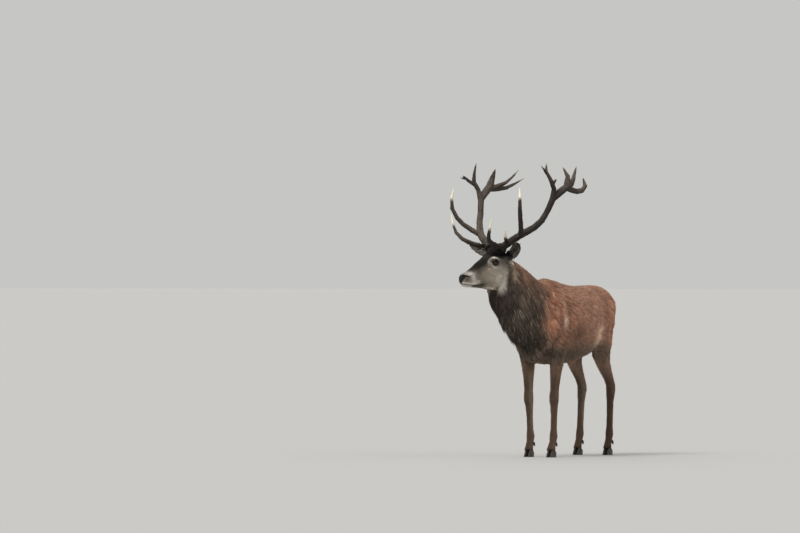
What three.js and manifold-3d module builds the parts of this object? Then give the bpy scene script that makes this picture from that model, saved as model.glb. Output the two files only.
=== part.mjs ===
import * as THREE from "three";
import { mergeVertices } from "three/addons/utils/BufferGeometryUtils.js";
import Module from "manifold-3d";

// A red deer stag at life size, standing, with its head turned to its right.
// Millimetres, +Z up. It faces -Y and its left side is +X.
// It is modelled with the withers over the origin. At the end the whole group moves
// so that the origin is on the floor, under the middle of the stag's box.

const wasm = await Module();
wasm.setup();

const gap = 0.3; // left open between neighbouring pieces
const degrees = Math.PI / 180;
const farAway = 3000; // longer than the stag, for cutting blocks

const withersHeight = 1250;
const headTurn = 23 * degrees; // to the right of the body's own heading
const midEye = new THREE.Vector3(-132, -564, withersHeight + 108);
const eyeRadius = 21;
const eyeSpread = 61; // each eyeball's middle from the head's middle plane
const burrLift = 105; // height of the antlers' burrs over the eyes
const burrSetBack = 58; // and how far behind the eyes they are
const burrSpread = 65;

const ringSides = {
  trunk: 22, neck: 22, head: 18, leg: 10, tail: 8, muscle: 10, headMuscle: 6,
  pedicle: 7, beam: 8, tine: 6, crown: 6, claw: 10, dewclaw: 5, eye: 10,
};
const eyeBands = 6; // from pole to pole of an eyeball
const rodStep = 66; // length of one straight step of an antler

// The trunk, from the brisket to the rump. egg widens the upper half of a section.
const trunkSections = [
  { y: -236, top: 1010, bottom: 800, halfWidth: 60, egg: 0 },
  { y: -190, top: 1140, bottom: 718, halfWidth: 132, egg: -0.06 },
  { y: -100, top: 1215, bottom: 672, halfWidth: 164, egg: -0.14 },
  { y: 10, top: withersHeight, bottom: 652, halfWidth: 178, egg: -0.16 },
  { y: 130, top: 1240, bottom: 646, halfWidth: 192, egg: -0.1 },
  { y: 270, top: 1216, bottom: 650, halfWidth: 204, egg: -0.04 },
  { y: 410, top: 1199, bottom: 664, halfWidth: 210, egg: 0 },
  { y: 550, top: 1198, bottom: 694, halfWidth: 205, egg: 0.03 },
  { y: 680, top: 1201, bottom: 742, halfWidth: 192, egg: 0.06 },
  { y: 790, top: 1202, bottom: 790, halfWidth: 178, egg: 0.06 },
  { y: 880, top: 1184, bottom: 828, halfWidth: 148, egg: 0.04 },
  { y: 940, top: 1140, bottom: 862, halfWidth: 106, egg: 0 },
  { y: 975, top: 1082, bottom: 905, halfWidth: 66, egg: 0 },
  { y: 984, top: 1040, bottom: 950, halfWidth: 30, egg: 0 },
];

// The neck with its mane. Each section runs from a point of the crest to one under the mane,
// and heading is how far it has turned to the right.
const neckSections = [
  { crest: [0, 40, 1232], under: [0, -70, 690], halfWidth: 120, heading: 0 },
  { crest: [0, -45, 1240], under: [0, -176, 722], halfWidth: 146, heading: 0 },
  { crest: [-4, -140, 1254], under: [-14, -284, 796], halfWidth: 152, heading: 3 },
  { crest: [-18, -222, 1292], under: [-38, -386, 876], halfWidth: 150, heading: 7 },
  { crest: [-38, -300, 1344], under: [-74, -470, 966], halfWidth: 141, heading: 12 },
  { crest: [-58, -372, 1384], under: [-106, -516, 1056], halfWidth: 121, heading: 16 },
  { crest: [-80, -432, 1410], under: [-122, -526, 1134], halfWidth: 94, heading: 20 },
  { crest: [-96, -474, 1398], under: [-124, -524, 1186], halfWidth: 66, heading: 23 },
];

// The head in its own level axes: ahead of the eyes, and over or under them.
const headSections = [
  { ahead: 260, top: -94, bottom: -132, halfWidth: 15, egg: 0, square: 0.85 },
  { ahead: 253, top: -81, bottom: -145, halfWidth: 26, egg: 0, square: 0.78 },
  { ahead: 236, top: -72, bottom: -159, halfWidth: 35, egg: -0.04, square: 0.76 },
  { ahead: 206, top: -60, bottom: -167, halfWidth: 41, egg: -0.14, square: 0.8 },
  { ahead: 160, top: -32, bottom: -169, halfWidth: 43, egg: -0.12, square: 0.84 },
  { ahead: 110, top: 3, bottom: -172, halfWidth: 52, egg: -0.02, square: 0.88 },
  { ahead: 62, top: 33, bottom: -177, halfWidth: 63, egg: 0.08, square: 0.88 },
  { ahead: 20, top: 60, bottom: -185, halfWidth: 70, egg: 0.12, square: 0.88 },
  { ahead: -22, top: 94, bottom: -197, halfWidth: 74, egg: 0.06, square: 0.92 },
  { ahead: -62, top: 98, bottom: -206, halfWidth: 76, egg: 0.02, square: 0.92 },
  { ahead: -104, top: 84, bottom: -206, halfWidth: 76, egg: 0, square: 0.94 },
  { ahead: -142, top: 64, bottom: -180, halfWidth: 66, egg: 0, square: 1 },
  { ahead: -164, top: 36, bottom: -130, halfWidth: 44, egg: 0, square: 1 },
];

// What stands out of each side of the head, measured ahead, out and up from between the eyes:
// the brow over the eye and the muscle at the ear's root.
const headLumps = [
  { middle: [-2, 60, 20], half: [36, 20, 21] },
  { middle: [-108, 62, 38], half: [36, 34, 36] },
];

// Legs, from where they leave the trunk's inside down to the pastern:
// height, place and the half width across (side) and along (deep) the stag.
const foreSections = [
  { z: 860, x: 116, y: -44, side: 50, deep: 100 },
  { z: 790, x: 118, y: -34, side: 57, deep: 106 },
  { z: 700, x: 114, y: 2, side: 49, deep: 73 },
  { z: 640, x: 111, y: 6, side: 42, deep: 56 },
  { z: 560, x: 108, y: 1, side: 35, deep: 46 },
  { z: 475, x: 106, y: -4, side: 30, deep: 36 },
  { z: 432, x: 105, y: -8, side: 33, deep: 37 },
  { z: 396, x: 105, y: -8, side: 33, deep: 36 },
  { z: 358, x: 104, y: -1, side: 27, deep: 29 },
  { z: 290, x: 103, y: 3, side: 22, deep: 25 },
  { z: 200, x: 102, y: 5, side: 22, deep: 24 },
  { z: 146, x: 101, y: 7, side: 28, deep: 31 },
  { z: 112, x: 101, y: -2, side: 25, deep: 27 },
  { z: 84, x: 100, y: -16, side: 26, deep: 27 },
  { z: 52, x: 100, y: -30, side: 30, deep: 33 },
  { z: 28, x: 100, y: -36, side: 28, deep: 30 },
];
const hindSections = [
  { z: 880, x: 97, y: 756, side: 63, deep: 138 },
  { z: 790, x: 104, y: 728, side: 64, deep: 126 },
  { z: 720, x: 108, y: 721, side: 57, deep: 101 },
  { z: 660, x: 109, y: 747, side: 48, deep: 77 },
  { z: 600, x: 109, y: 792, side: 40, deep: 58 },
  { z: 545, x: 108, y: 840, side: 33, deep: 47 },
  { z: 500, x: 107, y: 872, side: 30, deep: 45 },
  { z: 465, x: 106, y: 880, side: 31, deep: 43 },
  { z: 425, x: 106, y: 876, side: 29, deep: 35 },
  { z: 380, x: 105, y: 870, side: 24, deep: 28 },
  { z: 290, x: 104, y: 864, side: 22, deep: 25 },
  { z: 205, x: 103, y: 858, side: 22, deep: 25 },
  { z: 150, x: 102, y: 854, side: 27, deep: 31 },
  { z: 116, x: 102, y: 844, side: 25, deep: 27 },
  { z: 86, x: 101, y: 830, side: 25, deep: 26 },
  { z: 52, x: 101, y: 816, side: 28, deep: 31 },
  { z: 28, x: 101, y: 810, side: 26, deep: 28 },
];
// Each leg's foot is set a little ahead of (-) or behind (+) the place in its sections.
const legs = [
  {
    name: "fore", sections: foreSections, hipHeight: 720, strideLeft: -34, strideRight: 24,
    cutHeight: 700, cutFrom: -106, cutTo: 80,
  },
  {
    name: "hind", sections: hindSections, hipHeight: 740, strideLeft: 30, strideRight: -42,
    cutHeight: 770, cutFrom: 608, cutTo: 1060,
  },
];
// A leg is parted from the trunk on a slope that falls towards the middle of the belly.
const legCut = { out: 114, way: [0.6, 0, -0.8], from: 6, to: 400, rise: 200, below: -50 };
const foot = {
  clawLength: 84,
  clawWidth: 29,
  clawSpread: 16.2, // each claw's middle from the foot's
  clawHeights: [0, 8, 84],
  toeTaper: 0.42, // how much narrower the toe is than the heel
  toeLean: 0.446, // how far the toe leans back for each millimetre of height
  heelLean: 0.124,
  flare: 1.5, // the sole is this much wider to each side
  narrowing: 0.02, // and the claw loses this much for each millimetre of height
  innerRoom: 2, // the flat inner wall stands this much short of a full claw
  crownHeight: 54,
  crownTilt: 24 * degrees,
};
const dewclaw = {
  root: [17, 42, 104], // out from the foot's middle, back and up
  reach: [4, 12, -30], // from the root to the tip
  radii: [10, 10, 4],
  stepLength: 16,
};

const tailCourse = [
  { y: 905, z: 1104, side: 26, deep: 22 },
  { y: 962, z: 1092, side: 32, deep: 24 },
  { y: 992, z: 1048, side: 35, deep: 22 },
  { y: 1001, z: 985, side: 33, deep: 19 },
  { y: 997, z: 925, side: 23, deep: 14 },
  { y: 992, z: 902, side: 9, deep: 7 },
];

const tailBend = 1060; // over this height the tail's sections lean to the rear
const tailLean = [0, 0.5, 0.87];

// Muscles that stand out of the trunk: middle, half sizes along, across and up, and the
// lean of their upper end to the rear.
const muscles = [
  { middle: [52, -24, 930], half: [186, 133, 250], lean: 14 },
  { middle: [48, 788, 946], half: [160, 124, 226], lean: 10 },
  { middle: [70, 850, 868], half: [58, 52, 175], lean: 20 },
];
const sheath = { middle: [0, 474, 676], half: [74, 24, 30], lean: -4 };

const ear = {
  root: [-116, 62, 42], // ahead, out and up from between the eyes
  tip: [-50, 260, 127],
  facing: [0.97, 0.12, -0.2], // the way the cup opens
  halfWidth: 48,
  cup: 30,
  thickness: 11,
  backPoints: 6,
  frontPoints: 4,
  steps: 7,
  cutPlace: [-107, 100, 57], // where the ear is parted from the head
  cutWay: [0.22, 0.91, 0.35],
  cutSize: [210, 210, 400],
};

// Antlers: ahead, out and up from between the burrs. radii run from the root to the tip.
const beamCourse = [
  [14, 44, -34], [0, 66, 0], [-20, 136, 44], [-50, 217, 92], [-92, 275, 130], [-126, 319, 168],
  [-160, 349, 235], [-182, 371, 300], [-201, 391, 362],
];
const beamRadii = [27, 27, 25, 24, 23, 21.5, 20.5, 20.5, 23];
const beamPartPlace = [-76, 254, 116]; // where the lower beam ends
// The bone under the burr.
const pedicleCourse = [[-8, 35, -60], [0, 69, 8]];
const pedicleRadii = [33, 31];
const pedicleTrim = [90, 90, 200];
// The burr: heights over the antler's seat, and radii.
const burrSteps = [
  { high: 1, wide: 28 },
  { high: 5, wide: 36 },
  { high: 11, wide: 35 },
  { high: 18, wide: 26 },
];
const burrLean = [-0.1, 0.75, 0.62]; // the way an antler leaves the skull
const tines = {
  brow: {
    course: [[4, 76, 8], [60, 87, 12], [123, 106, 30], [188, 141, 64], [214, 187, 124], [220, 217, 198]],
    radii: [19, 18, 17, 14.5, 10.5, 2.5],
    longerOnRight: 36,
  },
  bez: {
    course: [[-14, 112, 30], [36, 152, 54], [76, 192, 86], [97, 219, 128]],
    radii: [14, 12.5, 9.5, 2.5],
  },
  trez: {
    course: [[-46, 214, 90], [-4, 266, 128], [43, 316, 176], [84, 358, 258], [92, 366, 332], [83, 353, 413]],
    radii: [19, 17, 16, 14.5, 12, 2.5],
  },
};
const crownRoot = [-193, 384, 340];
const betweenForks = { place: [-214, 400, 372], way: [-0.96, 0.05, -0.26] };
const forks = {
  left: {
    front: [
      {
        course: [crownRoot, [-190, 402, 400], [-163, 416, 446], [-124, 398, 520], [-143, 374, 590]],
        radii: [22, 18, 15.5, 11.5, 2.5],
      },
      { course: [[-126, 400, 512], [-98, 408, 536], [-57, 418, 568]], radii: [10.5, 9, 2.5] },
      { course: [[-170, 414, 444], [-184, 430, 474]], radii: [12, 5] },
    ],
    rear: [
      {
        course: [crownRoot, [-250, 402, 390], [-303, 410, 422], [-318, 398, 500], [-307, 360, 560]],
        radii: [23, 27, 30, 15, 3],
      },
      {
        course: [[-300, 408, 416], [-352, 396, 440], [-404, 364, 494], [-470, 317, 570]],
        radii: [22, 20, 14, 2.5],
      },
      {
        course: [[-290, 408, 420], [-362, 398, 400], [-452, 378, 392], [-524, 348, 432], [-533, 316, 484]],
        radii: [22, 21, 19, 15, 5],
      },
    ],
  },
  right: {
    front: [
      {
        course: [crownRoot, [-190, 402, 400], [-161, 418, 446], [-148, 402, 512], [-143, 374, 594]],
        radii: [22, 18, 17, 13, 2.5],
      },
      { course: [[-166, 414, 440], [-112, 422, 470], [-58, 420, 506]], radii: [14, 11.5, 3] },
      { course: [[-90, 421, 484], [-66, 426, 486], [-44, 430, 494]], radii: [8, 6.5, 2.5] },
    ],
    rear: [
      {
        course: [crownRoot, [-250, 402, 390], [-303, 410, 436], [-312, 394, 500], [-307, 358, 554]],
        radii: [23, 27, 28, 17, 2.5],
      },
      {
        course: [[-296, 408, 418], [-350, 392, 432], [-404, 342, 466], [-470, 300, 548]],
        radii: [20, 17, 12, 2.5],
      },
      {
        course: [[-296, 408, 412], [-372, 400, 414], [-448, 376, 430], [-533, 316, 490]],
        radii: [20, 18, 13, 2.5],
      },
    ],
  },
};

// Where the head, the neck and the tail are parted from what is behind or ahead of them.
const headCut = { place: [-86, -468, 1300], way: [-0.3, -0.88, 0.36] };
const neckCut = { place: [0, -120, 980], way: [0, -0.95, 0.31] };
const tailCut = { place: [0, 987, 1000], way: [0, 1, 0], size: [120, 400, 200] };

const hair = new THREE.MeshStandardMaterial({ color: 0x7a5138, roughness: 0.9, metalness: 0 });
const maneHair = new THREE.MeshStandardMaterial({ color: 0x5a4a3c, roughness: 0.92, metalness: 0 });
const faceHair = new THREE.MeshStandardMaterial({ color: 0x786552, roughness: 0.9, metalness: 0 });
const antlerBone = new THREE.MeshStandardMaterial({ color: 0x5b4534, roughness: 0.7, metalness: 0 });
const hoofHorn = new THREE.MeshStandardMaterial({ color: 0x1f1a17, roughness: 0.45, metalness: 0 });
const eyeGlass = new THREE.MeshStandardMaterial({ color: 0x120b07, roughness: 0.08, metalness: 0 });

function vector([x, y, z]) {
  return new THREE.Vector3(x, y, z);
}

// The head's own axes, as directions of the body.
const aheadWay = new THREE.Vector3(-Math.sin(headTurn), -Math.cos(headTurn), 0);
const leftWay = new THREE.Vector3(Math.cos(headTurn), -Math.sin(headTurn), 0);
const upWay = new THREE.Vector3(0, 0, 1);

function headDirection([ahead, left, up]) {
  return new THREE.Vector3()
    .addScaledVector(aheadWay, ahead)
    .addScaledVector(leftWay, left)
    .addScaledVector(upWay, up);
}

function headPoint(place) {
  return headDirection(place).add(midEye);
}

function antlerPoint([ahead, out, up], side) {
  return headPoint([ahead - burrSetBack, side * out, up + burrLift]);
}

// Where an antler sits on its pedicle, and the way it leaves the skull.
function burrSeat(side) {
  const [ahead, out, up] = burrLean;
  return {
    burrPlace: antlerPoint([0, burrSpread, 0], side),
    burrWay: headDirection([ahead, side * out, up]).normalize(),
  };
}

// A ring of points round an oval. square under 1 fills its corners, and egg widens its top.
function oval({ centre, across, up, halfWidth, halfHeight, egg = 0, square = 1 }, count) {
  return Array.from({ length: count }, (_, index) => {
    const angle = (2 * Math.PI * (index + 0.5)) / count;
    const sine = Math.sign(Math.sin(angle)) * Math.abs(Math.sin(angle)) ** square;
    const cosine = Math.sign(Math.cos(angle)) * Math.abs(Math.cos(angle)) ** square;
    return centre
      .clone()
      .addScaledVector(across, halfWidth * cosine * (1 + egg * sine))
      .addScaledVector(up, halfHeight * sine);
  });
}

function solidFrom(geometry) {
  const bare = geometry.clone();
  bare.deleteAttribute("normal");
  bare.deleteAttribute("uv");
  const merged = mergeVertices(bare, 1e-4);
  return new wasm.Manifold(
    new wasm.Mesh({
      numProp: 3,
      vertProperties: new Float32Array(merged.attributes.position.array),
      triVerts: new Uint32Array(merged.index.array),
    }),
  );
}

// A closed solid through rings of equal count, with each end closed by a fan to its middle.
function loft(rings) {
  const count = rings[0].length;
  const points = rings.flat();
  const middleOf = (ring) => ring.reduce((sum, p) => sum.add(p), new THREE.Vector3()).divideScalar(count);
  const firstMiddle = points.push(middleOf(rings[0])) - 1;
  const lastMiddle = points.push(middleOf(rings.at(-1))) - 1;
  const faces = [];
  const lastStart = (rings.length - 1) * count;
  for (let i = 0; i < count; i += 1) {
    const next = (i + 1) % count;
    faces.push([firstMiddle, next, i], [lastMiddle, lastStart + i, lastStart + next]);
    for (let start = 0; start < lastStart; start += count) {
      faces.push([start + i, start + next, start + count + next]);
      faces.push([start + i, start + count + next, start + count + i]);
    }
  }
  const sixVolumes = faces
    .map(([a, b, c]) => points[a].dot(points[b].clone().cross(points[c])))
    .reduce((sum, value) => sum + value, 0);
  const outward = sixVolumes > 0 ? faces : faces.map(([a, b, c]) => [a, c, b]);
  const geometry = new THREE.BufferGeometry().setFromPoints(points);
  geometry.setIndex(outward.flat());
  return solidFrom(geometry);
}

// A round rod along a curve through places, its radius running through radii. grow fattens it.
function rod(places, radii, sides, { stepLength = rodStep, grow = 0 } = {}) {
  const curve = new THREE.CatmullRomCurve3(places, false, "centripetal");
  const steps = Math.max(2, Math.round(curve.getLength() / stepLength));
  const frames = curve.computeFrenetFrames(steps, false);
  const rings = Array.from({ length: steps + 1 }, (_, index) => {
    const along = curve.getUtoTmapping(index / steps) * (radii.length - 1);
    const from = Math.min(Math.floor(along), radii.length - 2);
    const radius = THREE.MathUtils.lerp(radii[from], radii[from + 1], along - from) + grow;
    return oval(
      {
        centre: curve.getPointAt(index / steps),
        across: frames.normals[index],
        up: frames.binormals[index],
        halfWidth: radius,
        halfHeight: radius,
      },
      sides,
    );
  });
  return loft(rings);
}

// lean tips the upper end to the rear; turn is to the right.
function ellipsoid(centre, [along, across, high], { lean = 0, turn = 0, sides = 10 } = {}) {
  const geometry = new THREE.SphereGeometry(1, sides, Math.round(sides * 0.6)).rotateX(Math.PI / 2);
  geometry.scale(across, along, high).rotateX(-lean * degrees).rotateZ(-turn);
  return solidFrom(geometry.translate(centre.x, centre.y, centre.z));
}

// A block whose bottom face lies at place, square to outward, with the block on outward's side.
function blockBeyond(place, outward, [wide, deep, high] = [farAway, farAway, farAway]) {
  const geometry = new THREE.BoxGeometry(wide, deep, high).translate(0, 0, high / 2);
  const turn = new THREE.Quaternion().setFromUnitVectors(upWay, outward.clone().normalize());
  geometry.applyQuaternion(turn).translate(place.x, place.y, place.z);
  return solidFrom(geometry);
}

// Parts a solid with one thin cut: what is beyond the face, and what is left. Where a region
// is given, only what lies inside that block can be cut off.
function partAt(solid, place, outward, { size, region } = {}) {
  const way = outward.clone().normalize();
  const cutter = (shift, shrink) => {
    const block = blockBeyond(place.clone().addScaledVector(way, shift), way, size);
    return region ? block.intersect(regionBlock(region, shrink)) : block;
  };
  return [solid.intersect(cutter(gap / 2, gap / 2)), solid.subtract(cutter(-gap / 2, -gap / 2))];
}

// A block between two corners, each side moved in by shrink.
function regionBlock([low, high], shrink) {
  const size = high.map((value, i) => value - low[i] - 2 * shrink);
  const middle = high.map((value, i) => (value + low[i]) / 2);
  return solidFrom(new THREE.BoxGeometry(...size).translate(...middle));
}

const stag = new THREE.Group();

// A solid can come out of its cuts with crumbs smaller than this, which are dropped.
function addPiece(name, solid, material) {
  const bodies = solid.decompose().sort((a, b) => b.volume() - a.volume());
  const { numProp, vertProperties, triVerts } = bodies[0].getMesh();
  const geometry = new THREE.BufferGeometry();
  geometry.setAttribute("position", new THREE.BufferAttribute(new Float32Array(vertProperties), numProp));
  geometry.setIndex(new THREE.BufferAttribute(new Uint32Array(triVerts), 1));
  const mesh = new THREE.Mesh(geometry, material);
  mesh.name = name;
  stag.add(mesh);
}

function trunkSolid() {
  const rings = trunkSections.map(({ y, top, bottom, halfWidth, egg }) =>
    oval(
      {
        centre: new THREE.Vector3(0, y, (top + bottom) / 2),
        across: new THREE.Vector3(1, 0, 0),
        up: upWay,
        halfWidth,
        halfHeight: (top - bottom) / 2,
        egg,
        square: 0.94,
      },
      ringSides.trunk,
    ),
  );
  return loft(rings);
}

function neckSolid() {
  const rings = neckSections.map(({ crest, under, halfWidth, heading }) => {
    const crestPoint = vector(crest);
    const underPoint = vector(under);
    const turn = heading * degrees;
    return oval(
      {
        centre: crestPoint.clone().lerp(underPoint, 0.5),
        across: new THREE.Vector3(Math.cos(turn), -Math.sin(turn), 0),
        up: crestPoint.clone().sub(underPoint).normalize(),
        halfWidth,
        halfHeight: crestPoint.distanceTo(underPoint) / 2,
        egg: -0.1,
        square: 0.96,
      },
      ringSides.neck,
    );
  });
  return loft(rings);
}

function headSolid() {
  const rings = headSections.map(({ ahead, top, bottom, halfWidth, egg, square }) =>
    oval(
      {
        centre: headPoint([ahead, 0, (top + bottom) / 2]),
        across: leftWay,
        up: upWay,
        halfWidth,
        halfHeight: (top - bottom) / 2,
        egg,
        square,
      },
      ringSides.head,
    ),
  );
  return loft(rings);
}

// The lumps of one side of the head, and the bone an antler grows from.
function headSide(side) {
  const lumps = headLumps.map(({ middle: [ahead, out, up], half }) => {
    const middle = headPoint([ahead, side * out, up]);
    return ellipsoid(middle, half, { turn: headTurn, sides: ringSides.headMuscle });
  });
  const pedicle = rod(
    pedicleCourse.map((spot) => antlerPoint(spot, side)),
    pedicleRadii,
    ringSides.pedicle,
  );
  return lumps.reduce((sum, lump) => sum.add(lump)).add(pedicle);
}

// A leaf-shaped shell: a curved back, a hollow front, and a thick rounded root.
function earSolid(side) {
  const mirror = ([ahead, out, up]) => [ahead, side * out, up];
  const root = headPoint(mirror(ear.root));
  const tip = headPoint(mirror(ear.tip));
  const way = tip.clone().sub(root).normalize();
  const facing = headDirection(mirror(ear.facing));
  facing.addScaledVector(way, -facing.dot(way)).normalize();
  const across = new THREE.Vector3().crossVectors(way, facing);
  const { backPoints, frontPoints, steps } = ear;
  const rings = Array.from({ length: steps + 1 }, (_, index) => {
    const along = index / steps;
    const leaf = Math.min(1, 0.5 + 1.5 * along) * Math.sqrt(1 - (Math.max(0, along - 0.42) / 0.59) ** 2);
    const width = ear.halfWidth * Math.max(leaf, 0.07);
    const depth = ear.cup * Math.max(leaf, 0.1);
    const shell = ear.thickness * (0.55 + 0.45 * Math.min(1, 3 * (1 - along)));
    const fill = Math.max(0, 1 - along * 4); // the root is nearly solid
    const hollow = (depth - shell) * (1 - fill);
    const centre = root.clone().lerp(tip, along);
    const place = (x, y) => centre.clone().addScaledVector(across, x).addScaledVector(facing, y);
    const back = Array.from({ length: backPoints }, (_, i) => {
      const angle = Math.PI * (i / (backPoints - 1));
      return place(-width * Math.cos(angle), -depth * Math.sin(angle) ** 0.8);
    });
    const front = Array.from({ length: frontPoints }, (_, i) => {
      const angle = Math.PI * ((i + 1) / (frontPoints + 1));
      const inner = (width - shell * 0.5) * Math.cos(angle);
      return place(inner, 1 - Math.max(hollow, 0) * Math.sin(angle) + fill * depth * 0.6 * Math.sin(angle));
    });
    return [...back, ...front];
  });
  return loft(rings);
}

function legSolid({ sections, hipHeight }, side, stride) {
  const rings = sections.map(({ z, x, y, side: halfWidth, deep }) => {
    const lean = stride * Math.max(0, 1 - z / hipHeight);
    return oval(
      {
        centre: new THREE.Vector3(side * x, y + lean, z),
        across: new THREE.Vector3(1, 0, 0),
        up: new THREE.Vector3(0, 1, 0),
        halfWidth,
        halfHeight: deep,
        square: 0.96,
      },
      ringSides.leg,
    );
  });
  return loft(rings);
}

function tailSolid() {
  const rings = tailCourse.map(({ y, z, side, deep }) =>
    oval(
      {
        centre: new THREE.Vector3(0, y, z),
        across: new THREE.Vector3(1, 0, 0),
        up: vector(z > tailBend ? tailLean : [0, 1, 0]).normalize(),
        halfWidth: side,
        halfHeight: deep,
      },
      ringSides.tail,
    ),
  );
  return loft(rings);
}

// One claw: a pointed toe, a flat inner wall and a flat sole, leaning back as it rises.
function clawSolid(middle, apart) {
  const outline = (height) => {
    const width = foot.clawWidth / 2 + foot.flare - height * foot.narrowing;
    return Array.from({ length: ringSides.claw }, (_, index) => {
      const angle = (2 * Math.PI * index) / ringSides.claw;
      const toe = (1 + Math.cos(angle)) / 2; // 1 at the toe, 0 at the heel
      const narrowed = width * Math.sin(angle) * (1 - foot.toeTaper * toe ** 2);
      const inner = Math.max(narrowed * apart, foot.innerRoom - foot.clawWidth / 2) * apart;
      const lean = height * (toe * foot.toeLean + (1 - toe) * foot.heelLean);
      const along = lean - Math.cos(angle) * (foot.clawLength / 2);
      return new THREE.Vector3(middle.x + apart * foot.clawSpread + inner, middle.y + along, height);
    });
  };
  return loft(foot.clawHeights.map(outline));
}

function dewclawSolid(middle, apart) {
  const mirrored = ([out, back, up]) => new THREE.Vector3(apart * out, back, up);
  const root = mirrored(dewclaw.root).add(middle);
  const tip = root.clone().add(mirrored(dewclaw.reach));
  const places = [root, root.clone().lerp(tip, 0.5), tip];
  return rod(places, dewclaw.radii, ringSides.dewclaw, { stepLength: dewclaw.stepLength });
}

// The beam and its tines, parted at the forks.
function addAntler(sideName, side) {
  const tineNames = sideName === "left" ? ["brow", "bez", "trez"] : ["brow", "trez"];
  const place = (course) => course.map((spot) => antlerPoint(spot, side));
  const beam = rod(place(beamCourse), beamRadii, ringSides.beam);
  const fatBeam = rod(place(beamCourse), beamRadii, ringSides.beam, { grow: gap });
  const { burrPlace, burrWay } = burrSeat(side);
  const burrAcross = new THREE.Vector3().crossVectors(burrWay, aheadWay).normalize();
  const burrUp = new THREE.Vector3().crossVectors(burrAcross, burrWay);
  const burr = loft(
    burrSteps.map(({ high, wide }) =>
      oval(
        {
          centre: burrPlace.clone().addScaledVector(burrWay, high),
          across: burrAcross,
          up: burrUp,
          halfWidth: wide,
          halfHeight: wide,
        },
        ringSides.beam,
      ),
    ),
  );
  const fork = antlerPoint(crownRoot, side);
  const forkWay = fork.clone().sub(antlerPoint(beamCourse.at(-2), side)).normalize();
  const middle = antlerPoint(beamPartPlace, side);
  const middleWay = antlerPoint(beamCourse[5], side).sub(antlerPoint(beamCourse[3], side)).normalize();

  const [, belowCrown] = partAt(beam, fork, forkWay);
  const beamFoot = burrPlace.clone().addScaledVector(burrWay, burrSteps[0].high);
  const [aboveBurr] = partAt(belowCrown, beamFoot, burrWay);
  const [upperBeam, lowerBeam] = partAt(aboveBurr, middle, middleWay);
  addPiece(`antler_${sideName}_lower_beam`, lowerBeam.add(burr), antlerBone);
  addPiece(`antler_${sideName}_upper_beam`, upperBeam, antlerBone);

  const burrTop = burrPlace.clone().addScaledVector(burrWay, burrSteps.at(-1).high + gap);
  const burrKeepOut = blockBeyond(burrTop, burrWay);
  tineNames.forEach((tineName) => {
    const { radii, longerOnRight = 0 } = tines[tineName];
    const course = tines[tineName].course.map((spot) => [...spot]);
    if (side < 0) course.at(-1)[2] += longerOnRight;
    const free = rod(place(course), radii, ringSides.tine).subtract(fatBeam).intersect(burrKeepOut);
    addPiece(`antler_${sideName}_${tineName}_tine`, free, antlerBone);
  });

  const { front, rear } = forks[sideName];
  const join = (rods) => rods
    .map(({ course, radii }) => rod(place(course), radii, ringSides.crown))
    .reduce((sum, next) => sum.add(next));
  const crown = join(front).add(join(rear));
  const [aboveFork] = partAt(crown, fork, forkWay);
  const [ahead, out, up] = betweenForks.way;
  const [rearFork, frontFork] = partAt(
    aboveFork,
    antlerPoint(betweenForks.place, side),
    headDirection([ahead, side * out, up]),
  );
  addPiece(`antler_${sideName}_front_fork`, frontFork, antlerBone);
  addPiece(`antler_${sideName}_rear_fork`, rearFork, antlerBone);
}

function addFeet(leg, sideName, side, stride) {
  const last = leg.sections.at(-2);
  const middle = new THREE.Vector3(side * last.x, last.y + stride * (1 - last.z / leg.hipHeight), 0);
  const crown = new THREE.Vector3(middle.x, middle.y, foot.crownHeight);
  const crownWay = new THREE.Vector3(0, Math.sin(foot.crownTilt), Math.cos(foot.crownTilt));
  [["inner", -side], ["outer", side]].forEach(([which, apart]) => {
    const [, claw] = partAt(clawSolid(middle, apart), crown, crownWay);
    addPiece(`hoof_${leg.name}_${sideName}_${which}`, claw, hoofHorn);
  });
  return { middle, crown, crownWay };
}

const sides = [["left", 1], ["right", -1]];

let flesh = trunkSolid().add(neckSolid()).add(headSolid()).add(tailSolid());
flesh = flesh.add(ellipsoid(vector(sheath.middle), sheath.half, sheath));
sides.forEach(([, side]) => {
  flesh = flesh.add(headSide(side)).add(earSolid(side));
  muscles.forEach(({ middle: [x, y, z], half, lean }) => {
    flesh = flesh.add(ellipsoid(vector([side * x, y, z]), half, { lean, sides: ringSides.muscle }));
  });
});

// Feet first: the claws and dewclaws keep their own space in the legs.
sides.forEach(([sideName, side]) => {
  legs.forEach((leg) => {
    const stride = side > 0 ? leg.strideLeft : leg.strideRight;
    const { middle, crown, crownWay } = addFeet(leg, sideName, side, stride);
    const [shank] = partAt(legSolid(leg, side, stride), crown, crownWay);
    flesh = flesh.add(shank);
    [["inner", -side], ["outer", side]].forEach(([which, apart]) => {
      const claw = dewclawSolid(middle, apart);
      const free = claw.subtract(legSolid(leg, side, stride));
      const bodies = free.decompose().sort((a, b) => a.boundingBox().min[2] - b.boundingBox().min[2]);
      addPiece(`dewclaw_${leg.name}_${sideName}_${which}`, bodies[0], hoofHorn);
    });
  });
});

const [frontEnd, trunkAndLegs] = partAt(flesh, vector(neckCut.place), vector(neckCut.way));
const [headAndEars, neckOnly] = partAt(frontEnd, vector(headCut.place), vector(headCut.way));
addPiece("neck", neckOnly, maneHair);

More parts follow.
